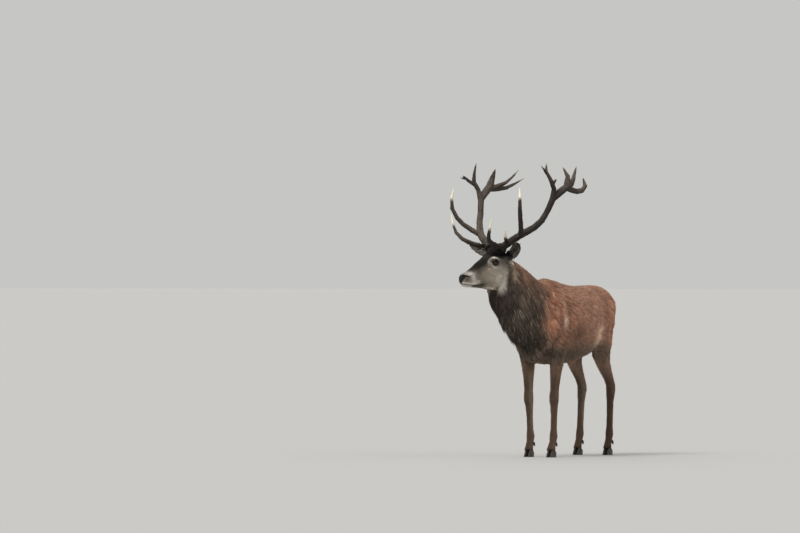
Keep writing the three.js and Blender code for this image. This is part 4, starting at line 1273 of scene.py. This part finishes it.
def neckCoat(skin, sign, name, material, seed):
    plan = coatPlans["neck"]
    where = skin["middle"]
    inPart = where["body"][:, 0] * sign >= sign * neckMiddle(where["body"])
    share = ramp(where["neckSide"], -0.07, 0.03) * ramp(where["headSide"], 0.035, -0.005)
    place, normal, way, random = combedRoots(skin, inPart * share, plan, seed)
    pull, mark = gathered(place, normal, way, random, plan["wisp"])
    spot = bodyMap(place)
    depth = depthAt(spot, normal) * (1 + 0.16 * mark)
    crest = ramp(normal[:, 2], 0.1, 0.65)
    nearHead = ramp(spot["headSide"], -0.13, -0.01)
    uneven = 1 + 0.20 * softNoise(place, 0.05, 9) + 0.14 * bell(random, len(place))
    length = plan["length"] * uneven * (1 - 0.52 * crest) * (1 - 0.66 * nearHead)
    length = length * (1 - 0.62 * (1 - ramp(spot["neckSide"], -0.06, 0.15)))
    lift = np.arcsin((1.25 * depth / length).clip(0.05, 0.75))
    width = plan["width"] * (0.65 + 0.7 * random.random(len(place)))
    width = width * (1 - 0.30 * crest) * (1 - 0.45 * nearHead)
    droop = 0.10 * (1 - crest[:, None])
    parts = longLocks((place, normal, way), length, width, lift, droop, 0.05, random, 2, plan["cling"] * pull)
    # a lock takes the colour of the place that it lies over
    over = place + way * (0.55 * length)[:, None]
    ground = mixedColour(over, normal, random, plan["reach"] * (1 - nearHead)[:, None])
    colour = tuftShades(place, random, ground, plan["shades"], 0.12 * mark)
    pale = (random.random(len(place)) < plan["pale"]) & (ground[:, 0] < 0.14) & (nearHead < 0.3)
    colour = blended(colour, coatColours["strand"], 0.6 * pale)
    # beside the cheek a part of the locks keeps the cheek's own tone
    cheeky = (random.random(len(place)) < plan["cheeky"]) & (nearHead > 0.45)
    colour = blended(colour, coatColours["temple"], 0.5 * cheeky)
    streaky = blob(mirrored(spot["head"]), *napePatch) * random.random(len(place))
    colour = blended(colour, coatColours["nape"], 0.85 * ramp(streaky, 0.36, 0.60))
    unwrap = roundMap(spot["body"], (0.0, -0.05, 0.95), (-0.10, -0.50, 1.29), (0, -0.6, -1), 2.0)
    unwrap[:, 1] = (unwrap[:, 1] if sign < 0 else 2 - unwrap[:, 1]).clip(0, 1)
    mesh = coatMesh(name, [(*parts, colour, unwrap, plan["fade"])])
    return addPiece(name, mesh, material)


def faceLength(head):
    # hair length on the face, shortest on the muzzle and round the eyes
    fold = mirrored(head)
    length = 0.0055 + 0.0060 * ramp(-fold[:, 0], -0.20, 0.0)
    length = length + 0.010 * ramp(-fold[:, 2], 0.10, 0.19) * ramp(-fold[:, 0], -0.10, 0.03)
    length = length + 0.012 * ramp(-fold[:, 0], 0.08, 0.15)
    length = length + 0.008 * ramp(fold[:, 2], 0.05, 0.09)
    fromEye = np.linalg.norm(fold - [0.0, 0.074, 0.0], axis=1)
    return length * (0.45 + 0.55 * ramp(fromEye, 0.024, 0.042))


def lidClear(points):
    # 0 inside the lids' opening and on their bare rims, 1 away from them
    clear = np.ones(len(points))
    for side, _ in sides:
        distance, _, reach, near = lidPlaces(points, side)
        over = near & (distance < eyeRadius + 0.0060)
        clear = np.where(over, np.minimum(clear, ramp(reach, 1.14, 1.22)), clear)
    return clear


def headCoat(skin, name, material, seed):
    plan = coatPlans["head"]
    where = skin["middle"]
    ahead, _, up = where["head"].T
    keep = (bareMask(where["head"]) < 0.85) & (lidClear(skin["middles"]) > 0.5)
    fine = 1 + 1.2 * ramp(ahead, 0.05, 0.16) + between(ahead, -0.08, -0.03, 0.03, 0.08)
    slit = (np.abs(up - mouthHeight(ahead)) < 0.0022) & (ahead > 0.112)
    share = ramp(where["headSide"], -0.03, 0.0) * (1 - where["isEar"]) * keep * fine * ~slit
    place, normal, way, random = combedRoots(skin, share, plan, seed)
    spot = bodyMap(place)
    uneven = 1 + 0.12 * softNoise(place, 0.03, 10) + 0.10 * bell(random, len(place))
    length = faceLength(spot["head"]) * uneven
    lift = np.arcsin((0.85 * depthAt(spot, normal) / length).clip(0.08, 0.42))
    width = plan["width"] * (length / plan["length"]).clip(0.65, 1.7)
    width = width * (0.8 + 0.4 * random.random(len(place)))
    parts = shortTufts((place, normal, way), length, width, lift, plan["thick"])
    colour = tuftShades(place, random, coatColour(place, normal), plan["shades"])
    short = (*parts, colour, faceMap(spot["body"]), plan["fade"])
    mesh = coatMesh(name, [short, lockPatch(skin, "forelock", 61), lockPatch(skin, "earTuft", 62)])
    return addPiece(name, mesh, material)


def lockPatch(skin, kind, seed):
    # longer locks in one patch of the head: the dark tuft between the antlers, the pale one under an ear
    plan = coatPlans[kind]
    where = skin["middle"]
    share = blob(mirrored(where["head"]), plan["middle"], plan["radii"]) * (where["isEar"] < 0.15)
    place, normal, way, random = rootsOn(skin, np.where(share > 0.15, share, 0), plan["count"], seed)
    if kind == "earTuft":
        way = unit(np.tile([0.0, 0.2, -1.0], (len(place), 1)))
        way = unit(way - normal * (way * normal).sum(1, keepdims=True))
    way = combed(place, normal, way, random, plan)
    length = plan["length"] * (0.6 + 0.6 * random.random(len(place)))
    parts = longLocks((place, normal, way), length, plan["width"], plan["lift"], 0.0, 0.20, random)
    colour = tuftShades(place, random, coatColours[kind], plan["shades"])
    if kind == "earTuft":
        colour = blended(colour, coatColours["temple"], 0.8 * (random.random(len(place)) < 0.4))
    return (*parts, colour, faceMap(place - withers), plan["fade"])


def earCoat(skin, name, material, seed):
    plan = coatPlans["ears"]
    place, normal, way, random = combedRoots(skin, skin["middle"]["isEar"] > 0.12, plan, seed)
    spot = bodyMap(place)
    # hair lies close at the ear's root, and stands up inside the ear
    settled = 0.30 + 0.70 * ramp(spot["isEar"], 0.20, 0.85)
    inside = ramp(normal @ (unit(earFacing * [1, 0, 1]) @ headAxes), 0.05, 0.4)
    length = plan["length"] * (0.8 + 0.4 * random.random(len(place))) * settled
    length = length * (1 + 1.1 * inside * random.random(len(place)))
    lift = 0.10 + 0.16 * inside * random.random(len(place)) * settled
    parts = shortTufts((place, normal, way), length, plan["width"], lift, plan["thick"])
    colour = tuftShades(place, random, coatColour(place, normal), plan["shades"])
    pale = (random.random(len(place)) < plan["pale"] * inside) & (spot["earAlong"] < 0.85)
    colour = blended(colour, coatColours["earPale"], 0.7 * pale)
    unwrap = roundMap(mirrored(spot["head"]), earRoot, earTip, earFacing, 0.5)
    unwrap[:, 1] += 0.5 * (spot["head"][:, 1] < 0)
    mesh = coatMesh(name, [(*parts, colour, unwrap, plan["fade"])])
    return addPiece(name, mesh, material)


def legCoat(skin, isFront, name, material, seed):
    plan = coatPlans["legs"]
    where = skin["middle"]
    z = where["body"][:, 2]
    share = (where["isFront"] == isFront) * ramp(-z, -0.74, -0.64) * (where["isHead"] < 0.5)
    share = share * (1 + 1.5 * ramp(-z, -0.10, -0.06))
    place, normal, way, random = combedRoots(skin, share, plan, seed)
    spot = bodyMap(place)
    x, y, z = spot["body"].T
    length = plan["length"] * (1 + 0.55 * ramp(z, 0.45, 0.70)) * (1 - 0.35 * ramp(-z, -0.30, -0.10))
    fringe = 1 + 1.1 * ramp(-z, -0.092, -0.062)  # longer over the hooves
    length = length * (0.85 + 0.3 * random.random(len(place))) * fringe
    lift = np.arcsin((0.9 * depthAt(spot, normal) / length).clip(0.06, 0.4))
    width = plan["width"] * (0.75 + 0.5 * random.random(len(place)))
    parts = shortTufts((place, normal, way), length, width, lift, plan["thick"])
    colour = tuftShades(place, random, coatColour(place, normal), plan["shades"])
    fromLeg = np.stack([np.abs(x) - 0.105, y - (-0.01 if isFront else 0.80), z], 1)
    unwrap = roundMap(fromLeg, (0, 0, 0.02), (0, 0, 0.76), (0, 1, 0), 0.5)
    unwrap[:, 1] += 0.5 * (x < 0)
    mesh = coatMesh(name, [(*parts, colour, unwrap, plan["fade"])])
    return addPiece(name, mesh, material)


# Antlers: rough, grooved bone with pearls near the burr and polished pale tips.

antlerPlan = {
    "voxel": 0.0028, "grow": 0.0008, "facetRounds": 26, "groove": 0.0013,
    "pearls": 520, "pearlHeight": 0.0024,
    "dark": paint(40, 35, 31), "tan": paint(94, 82, 70), "deep": paint(24, 20, 18),
    "ivory": paint(226, 214, 190),
    "whiteTines": ("brow_tine", "bez_tine", "trez_tine"), "whiteEnd": 0.055, "whiteFade": 0.095,
    "fullTine": 0.24,  # a shorter tine has a shorter white point
    # how much darker each lower beam is: a little on both, and far more on the left antler as painted shade
    "stainAndShade": {"left": 0.60, "right": 0.15},
}


def antlerNodes(side):
    return [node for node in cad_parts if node.startswith(f"antler_{side}_")]


def limbWays(points, faces, edges, rounds):
    # the way each spot of a branching rod runs: the direction its normals leave out
    normals = normalsAt(points, faces)
    table = np.einsum("ni,nj->nij", normals, normals)
    for _ in range(rounds):
        table = 0.3 * table + 0.7 * spread(table, edges)
    _, vectors = np.linalg.eigh(table)
    return vectors[:, :, 0], normals


def streaks(points, ways, size, reach, seed):
    # noise drawn out along the ways, as long grooves
    steps = np.arange(-reach, reach + 1e-6, size * 0.6)
    total = sum(softNoise(points + ways * step, size, seed) for step in steps)
    return total / total.std()


def thinness(normals, ways, edges):
    # 1 on slender points, 0 on thick beams: the outward ways round a slender rod cancel out
    mean = normals - ways * (normals * ways).sum(1, keepdims=True)
    for _ in range(34):
        mean = spread(mean, edges)
    return 1 - ramp(np.linalg.norm(mean, axis=1), 0.05, 0.32)


def whitePoints(side, points, burrSpot):
    # 1 on the worn points of the lower tines
    plan = antlerPlan
    white = np.zeros(len(points))
    for tine in plan["whiteTines"]:
        name = f"antler_{side}_{tine}"
        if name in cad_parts:
            spots = pointsOf(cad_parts[name].data)
            tip = spots[np.argmax(np.linalg.norm(spots - burrSpot, axis=1))]
            short = min(1.0, np.linalg.norm(tip - burrSpot) / plan["fullTine"])
            toTip = np.linalg.norm(points - tip, axis=1)
            white = np.maximum(white, 1 - ramp(toTip, plan["whiteEnd"] * short, plan["whiteFade"] * short))
    return white


def pearlsOn(points, rough, chances, random):
    # small round bumps, most of them near the burr
    picks = random.choice(len(points), antlerPlan["pearls"], replace=False, p=chances / chances.sum())
    pearl = np.zeros(len(points))
    for pick in picks:
        near = np.linalg.norm(points - points[pick], axis=1)
        size = 0.0026 + 0.0022 * random.random()
        pearl = np.maximum(pearl, (0.5 + 0.5 * rough[pick]) * stripe(near, size))
    return pearl


def boneColours(side, points, normals, tone, fromBurr, polish):
    plan = antlerPlan
    patch = softNoise(points, 0.07, 21) * 0.5 + 0.5
    # painted light: bone that faces up is made lighter, as if lit from above
    wearAndTopLight = ramp(normals[:, 2], -0.2, 0.9) * 0.30
    colour = plan["dark"] + (plan["tan"] - plan["dark"]) * (tone * (0.30 + 0.45 * patch) + wearAndTopLight)[:, None]
    for name, mask in (
        ("deep", 0.6 * ramp(-tone, -0.30, -0.05) + 0.5 * (1 - ramp(fromBurr, 0.03, 0.14))),
        ("tan", 0.22 * ramp(fromBurr, 0.35, 0.8)),
        # darker lower beam, on the left antler mostly painted shade
        ("deep", plan["stainAndShade"][side] * (1 - ramp(fromBurr, 0.50, 0.78))),
        ("ivory", polish),
    ):
        colour = blended(colour, plan[name], mask)
    return colour


def buildAntler(side, sign, material):
    plan = antlerPlan
    nodes = antlerNodes(side)
    mesh = voxelSkin(nodes, plan["grow"], plan["voxel"], f"antler_{side}")
    points, faces, edges = pointsOf(mesh), cornersOf(mesh, 4), edgesOf(mesh)
    random = np.random.default_rng(40 + sign)
    points = rounded(points, edges, plan["facetRounds"])
    ways, normals = limbWays(points, faces, edges, 40)
    grooves = streaks(points, ways, 0.0065, 0.026, 51)
    fine = streaks(points, ways, 0.0042, 0.012, 52)
    beam = pointsOf(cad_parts[f"antler_{side}_lower_beam"].data)
    burrSpot = beam[np.argmin(headPlaces(beam) @ [0, sign, 1])]
    fromBurr = np.linalg.norm(points - burrSpot, axis=1)
    rough = 1 - 0.75 * ramp(fromBurr, 0.10, 0.75)
    crown = thinness(normals, ways, edges) * ramp(fromBurr, 0.45, 0.60)
    polish = np.maximum(0.35 * crown, whitePoints(side, points, burrSpot))
    lift = plan["groove"] * (0.75 * np.tanh(grooves) + 0.35 * np.tanh(fine)) * (1 - 0.92 * polish)
    lift = lift * (1 - 0.6 * crown)
    pearl = pearlsOn(points, rough, rough ** 3 * (1 - polish), random)
    points = points + normals * (lift + plan["pearlHeight"] * pearl)[:, None]
    tone = np.clip(0.46 + 0.30 * np.tanh(grooves * 0.9) + 0.16 * np.tanh(fine) + 0.35 * pearl, 0, 1)
    reshaped(mesh, points)
    storeColour(mesh, "coat", boneColours(side, points, normals, tone, fromBurr, polish))
    storeValue(mesh, "polish", polish)
    print(f"antler_{side}:", 2 * len(faces), "triangles")
    return addPiece(f"antler_{side}", mesh, material, nodes)


def antlerMaterial():
    material, tree, shader = newMaterial("antlerBone", Specular_IOR_Level=0.25)
    place = addNode(tree, "ShaderNodeTexCoord").outputs["Object"]
    tone = tonedColour(tree, shader, stored(tree, "coat"), place, 240.0, 0.5)
    addRoughness(tree, shader, stored(tree, "polish", "Fac"), 0.66, 0.34)
    addRelief(tree, shader, tone.outputs["Height"], 0.45, 0.0007)
    return material


# Hooves: two claws and two dewclaws to a foot.

hoofPlan = {
    "voxel": 0.0021, "facetRounds": 10, "softRounds": 9, "soleHeight": 0.0020, "drawn": (0.020, 0.060),
    "drawIn": 0.24, "lean": 0.25,
    "stops": ((0.35, paint(36, 31, 28)), (0.75, paint(70, 60, 51))),
}


def hornMaterial():
    material, tree, shader = newMaterial("hoofHorn", Specular_IOR_Level=0.5)
    place = addNode(tree, "ShaderNodeTexCoord").outputs["Object"]
    rings = addNode(tree, "ShaderNodeTexNoise", {"Scale": 60.0, "Detail": 4.0})
    wearAndTopLight = addNode(tree, "ShaderNodeValToRGB")
    for stop, (position, colour) in zip(wearAndTopLight.color_ramp.elements, hoofPlan["stops"]):
        stop.position = position
        stop.color = (*colour, 1)
    linkAll(tree, [(place, rings.inputs["Vector"]), (rings.outputs["Fac"], wearAndTopLight.inputs["Fac"])])
    tone = tonedColour(tree, shader, wearAndTopLight.outputs["Color"], place, 160.0, 0.8)
    addRoughness(tree, shader, tone.outputs["Height"], 0.40, 0.62)
    addRelief(tree, shader, rings.outputs["Fac"], 0.4, 0.0006)
    return material


def narrowedTops(points, nodes):
    # each claw draws in towards its top, which the hair hangs over
    for node in nodes[:2]:
        low, high = (np.array(corner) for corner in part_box(node))
        near = ((points > low - 0.001) & (points < high + 0.001)).all(1)
        rise = ramp(points[near, 2], *hoofPlan["drawn"])
        lean = (points[near, 2] - hoofPlan["drawn"][0]) * hoofPlan["lean"]
        middle = np.stack([np.full(near.sum(), (low[0] + high[0]) / 2), (low[1] + high[1]) / 2 + lean], 1)
        points[near, :2] += (middle - points[near, :2]) * (hoofPlan["drawIn"] * rise)[:, None]
    return points


def buildFoot(end, side, material):
    nodes = [f"{kind}_{end}_{side}_{which}" for kind in ("hoof", "dewclaw") for which in ("inner", "outer")]
    name = f"hooves_{end}_{side}"
    mesh = voxelSkin(nodes, 0.0002, hoofPlan["voxel"], name)
    points, faces, edges = pointsOf(mesh), cornersOf(mesh, 4), edgesOf(mesh)
    points = rounded(points, edges, hoofPlan["facetRounds"])
    points = relaxed(points, edges, hoofPlan["softRounds"], 0.5 * ramp(points[:, 2], 0.004, 0.014))
    points = narrowedTops(points, nodes)
    normals = normalsAt(points, faces)
    rings = np.sin(points[:, 2] * 900 + 2.2 * softNoise(points, 0.02, 33)) * ramp(points[:, 2], 0.008, 0.02)
    rings = rings + 0.8 * softNoise(points * [1, 1, 0.4], 0.006, 34)
    points = points + normals * (0.00030 * rings * (1 - np.abs(normals[:, 2])))[:, None]
    onSole = points[:, 2] < hoofPlan["soleHeight"]
    points[onSole, 2] = 0
    reshaped(mesh, points)
    return addPiece(name, mesh, material, nodes)


# Eyes, the dark rims of the lids, and lashes.

eyePlan = {
    "iris": paint(34, 20, 13), "irisEdge": paint(16, 10, 8), "pupil": paint(4, 4, 6),
    "white": paint(40, 32, 28), "rimRadius": 0.0012, "rimSteps": 72, "rimSides": 8,
    "lashes": 64, "lashLength": 0.0085, "lashWidth": 0.0009,
}


def eyeMaterial():
    material, tree, shader = newMaterial("wetEye", Roughness=0.25, Specular_IOR_Level=0.10,
                                         Coat_Weight=0.60, Coat_Roughness=0.03)
    place = addNode(tree, "ShaderNodeTexCoord").outputs["Object"]
    tonedColour(tree, shader, stored(tree, "coat"), place, 900.0, 0.8)
    return material


def ringFaces(rows, columns):
    # the faces of a tube whose last row meets its first
    row, column = np.meshgrid(np.arange(rows), np.arange(columns), indexing="ij")
    right = (column + 1) % columns
    nextRow = (row + 1) % rows
    return np.stack([row * columns + column, row * columns + right, nextRow * columns + right,
                     nextRow * columns + column], -1).reshape(-1, 4)


def buildEye(side, material):
    axes = eyeAxes(side)
    work = bmesh.new()
    bmesh.ops.create_icosphere(work, subdivisions=6, radius=eyeRadius)
    mesh = bpy.data.meshes.new(f"eye_{side}")
    work.to_mesh(mesh)
    work.free()
    spot = pointsOf(mesh)
    fromAxis = np.hypot(spot[:, 0], spot[:, 1])
    front = spot[:, 2] > 0
    cornea = 0.0011 * ramp(-fromAxis, -0.0135, -0.0040) * front
    spot = spot * (1 + cornea / eyeRadius)[:, None]
    pupil = np.hypot(spot[:, 0] / 0.0085, spot[:, 1] / 0.0045)  # a lying oval
    colour = np.tile(eyePlan["white"], (len(spot), 1))
    for name, mask in (
        ("irisEdge", ramp(-fromAxis, -0.0165, -0.0150)),
        ("iris", ramp(-fromAxis, -0.0150, -0.0125)),
        ("pupil", ramp(-pupil, -1.12, -0.9)),
    ):
        colour = blended(colour, eyePlan[name], mask * front)
    if np.linalg.det(axes) < 0:
        mesh.flip_normals()
    reshaped(mesh, spot @ axes + eyePlaces[side])
    storeColour(mesh, "coat", colour)
    return addPiece(f"eyeball_{side}", mesh, material, [f"eye_{side}"])


def lidCurve(turn, radius, grown=1.0):
    # the edge of the lids' opening on a ball of this radius, by angle
    across = np.cos(turn) * np.where(np.cos(turn) > 0, lids["front"], lids["back"]) * grown
    high = np.sin(turn) * np.where(np.sin(turn) > 0, lids["top"], lids["bottom"]) * grown
    return np.stack([across, high, np.sqrt(np.maximum(radius ** 2 - across ** 2 - high ** 2, 1e-6))], 1)


def buildLidRim(side, material):
    plan = eyePlan
    turn = np.linspace(0, 2 * math.pi, plan["rimSteps"], endpoint=False)
    line = lidCurve(turn, eyeRadius + lids["lift"] - 0.0004)
    ahead = unit(np.roll(line, -1, 0) - np.roll(line, 1, 0))
    lift = unit(line)[:, None]
    sideways = np.cross(ahead, unit(line))[:, None] * 1.5
    ring = np.linspace(0, 2 * math.pi, plan["rimSides"], endpoint=False)[None, :, None]
    thick = plan["rimRadius"] * (1 + 0.5 * ramp(np.cos(turn), 0.85, 1.0))  # thicker at the front corner
    tube = line[:, None] + thick[:, None, None] * (np.cos(ring) * lift + np.sin(ring) * sideways)
    faces = ringFaces(plan["rimSteps"], plan["rimSides"])
    placed = tube.reshape(-1, 3) @ eyeAxes(side) + eyePlaces[side]
    mesh = meshFrom(f"lidRim_{side}", placed, faces if side == "right" else faces[:, ::-1])
    storeColour(mesh, "coat", np.tile(coatColours["bare"], (len(placed), 1)))
    storeVector(mesh, "grain", placed)
    storeValue(mesh, "bare", np.ones(len(placed)))
    return addPiece(f"lidRim_{side}", mesh, material)


def buildLashes(material):
    # short dark lashes along both upper lids
    random = np.random.default_rng(90)
    count = eyePlan["lashes"]
    parts = []
    for side, sign in sides:
        axes = eyeAxes(side)
        turn = np.radians(np.linspace(18, 158, count)) + 0.02 * random.standard_normal(count)
        root = lidCurve(turn, eyeRadius + lids["lift"], 1.05)
        way = unit(root) + [0.0, -0.30, 0.25] + root * [12, 0, 0]
        normal = unit(np.cross(way, np.cross(unit(root), way)))
        roots = (root @ axes + eyePlaces[side], normal @ axes, unit(way) @ axes)
        length = eyePlan["lashLength"] * (0.7 + 0.5 * random.random(count))
        made = longLocks(roots, length, eyePlan["lashWidth"], 0.25, 0.10, 0.05, random)
        colour = np.tile(coatColours["bare"], (count, 1))
        unwrap = np.stack([np.linspace(0, 0.48, count) + 0.5 * (sign < 0), np.full(count, 0.5)], 1)
        parts.append((*made, colour, unwrap, 0.1))
    return addPiece("lashes", coatMesh("lashes", parts), material)


# Studio: pale floor, soft light, long lens.

studio = {
    "floorSize": 420.0, "floor": paint(163, 162, 159), "backdrop": paint(198, 198, 196),
    "sky": (0.80, 0.81, 0.83), "skyStrength": 0.80,
    "lens": 400.0, "distance": 62.2, "turn": 27.0, "target": (-0.8849, -0.4513, 1.3335),
    # each sun's strength, softness, turn from the camera's, height, colour, and whether gloss shows it
    "suns": {
        "keyLight": (2.7, 30, -38, 52, (1.0, 0.985, 0.96), True),
        "fillLight": (0.6, 60, 60, 28, (0.95, 0.97, 1.0), False),  # no second highlight in the eyes
        "backLight": (0.8, 50, 190, 42, (1.0, 1.0, 1.0), True),
    },
}


def buildFloor():
    corners = studio["floorSize"] * np.array([[-1.0, -1, 0], [1, -1, 0], [1, 1, 0], [-1, 1, 0]])
    mesh = meshFrom("floor", corners, np.array([[0, 1, 2, 3]]))
    material, _, shader = newMaterial("floorPaint", Roughness=0.9, Specular_IOR_Level=0.1)
    shader.inputs["Base Color"].default_value = (*studio["floor"], 1)
    mesh.materials.append(material)
    floor = bpy.data.objects.new("floor", mesh)
    bpy.context.scene.collection.objects.link(floor)


def buildSky():
    # soft light from all round, and a plain backdrop that only the camera sees
    world = bpy.data.worlds.new("studioAir")
    bpy.context.scene.world = world
    world.use_nodes = True
    tree = world.node_tree
    light = tree.nodes["Background"]
    light.inputs["Color"].default_value = (*studio["sky"], 1)
    light.inputs["Strength"].default_value = studio["skyStrength"]
    seen = addNode(tree, "ShaderNodeBackground", {"Color": (*studio["backdrop"], 1)})
    path = addNode(tree, "ShaderNodeLightPath")
    both = addNode(tree, "ShaderNodeMixShader")
    linkAll(tree, [
        (path.outputs["Is Camera Ray"], both.inputs["Fac"]),
        (light.outputs[0], both.inputs[1]),
        (seen.outputs[0], both.inputs[2]),
        (both.outputs[0], tree.nodes["World Output"].inputs["Surface"]),
    ])


def buildSuns():
    for name, (strength, softness, turn, height, colour, inGloss) in studio["suns"].items():
        data = bpy.data.lights.new(name, "SUN")
        data.energy = strength
        data.angle = math.radians(softness)
        data.color = colour
        lamp = bpy.data.objects.new(name, data)
        lamp.rotation_euler = (math.radians(90 - height), 0, math.radians(studio["turn"] + turn))
        lamp.visible_glossy = inGloss
        bpy.context.scene.collection.objects.link(lamp)


def buildCamera():
    scene = bpy.context.scene
    turn = math.radians(studio["turn"])
    data = bpy.data.cameras.new("camera")
    data.lens = studio["lens"]
    data.sensor_width = 36.0
    data.clip_end = 900.0
    camera = bpy.data.objects.new("camera", data)
    away = np.array([math.sin(turn), -math.cos(turn), 0]) * studio["distance"]
    camera.location = withers + np.array(studio["target"]) + away
    camera.rotation_euler = (math.radians(90), 0, turn)
    scene.collection.objects.link(camera)
    scene.camera = camera
    scene.view_settings.view_transform = "Standard"


# Everything together.

def finishSkin(mesh, points, faces, material):
    # the skin under the hair is darker than its tips; its grain is drawn out along the way hair lies
    normals = normalsAt(points, faces)
    where = bodyMap(points)
    lie = lieAt(where, normals)
    storeColour(mesh, "coat", coatColour(points, normals) * 0.72)
    storeVector(mesh, "grain", points - 0.85 * lie * (points * lie).sum(1, keepdims=True))
    storeValue(mesh, "bare", np.maximum(bareMask(where["head"]) * where["isHead"], 1 - lidClear(points)))
    addPiece("skin", mesh, material, fleshNodes)
    print("skin ready")


def main():
    buildFloor()
    buildSky()
    buildSuns()
    buildCamera()
    skinSurface = skinMaterial()
    skinMesh, points, faces = buildSkin()
    finishSkin(skinMesh, points, faces, skinSurface)
    skin = skinTables(points, faces)

    shortHair = coatMaterial("shortBodyHair")
    faceHair = coatMaterial("faceHair", amount=0.4)
    maneHair = coatMaterial("maneHair", roughness=0.70, amount=0.9, scale=4.5, bump=0.5)
    for seed, (side, sign) in enumerate(sides):
        name = side.capitalize()
        trunkCoat(skin, sign, -0.30, 0.40, f"coatShoulder{name}", shortHair, 11 + seed)
        trunkCoat(skin, sign, 0.40, 1.10, f"coatHaunch{name}", shortHair, 21 + seed)
        neckCoat(skin, sign, f"mane{name}", maneHair, 31 + seed)
    headCoat(skin, "coatHead", faceHair, 51)
    earCoat(skin, "coatEars", faceHair, 71)
    legCoat(skin, True, "coatForelegs", shortHair, 81)
    legCoat(skin, False, "coatHindlegs", shortHair, 82)
    print("coat ready")

    bone = antlerMaterial()
    horn = hornMaterial()
    wet = eyeMaterial()
    for side, sign in sides:
        buildAntler(side, sign, bone)
        buildEye(side, wet)
        buildLidRim(side, skinSurface)
        for end in ("fore", "hind"):
            buildFoot(end, side, horn)
    buildLashes(faceHair)
    print("pieces ready")


main()
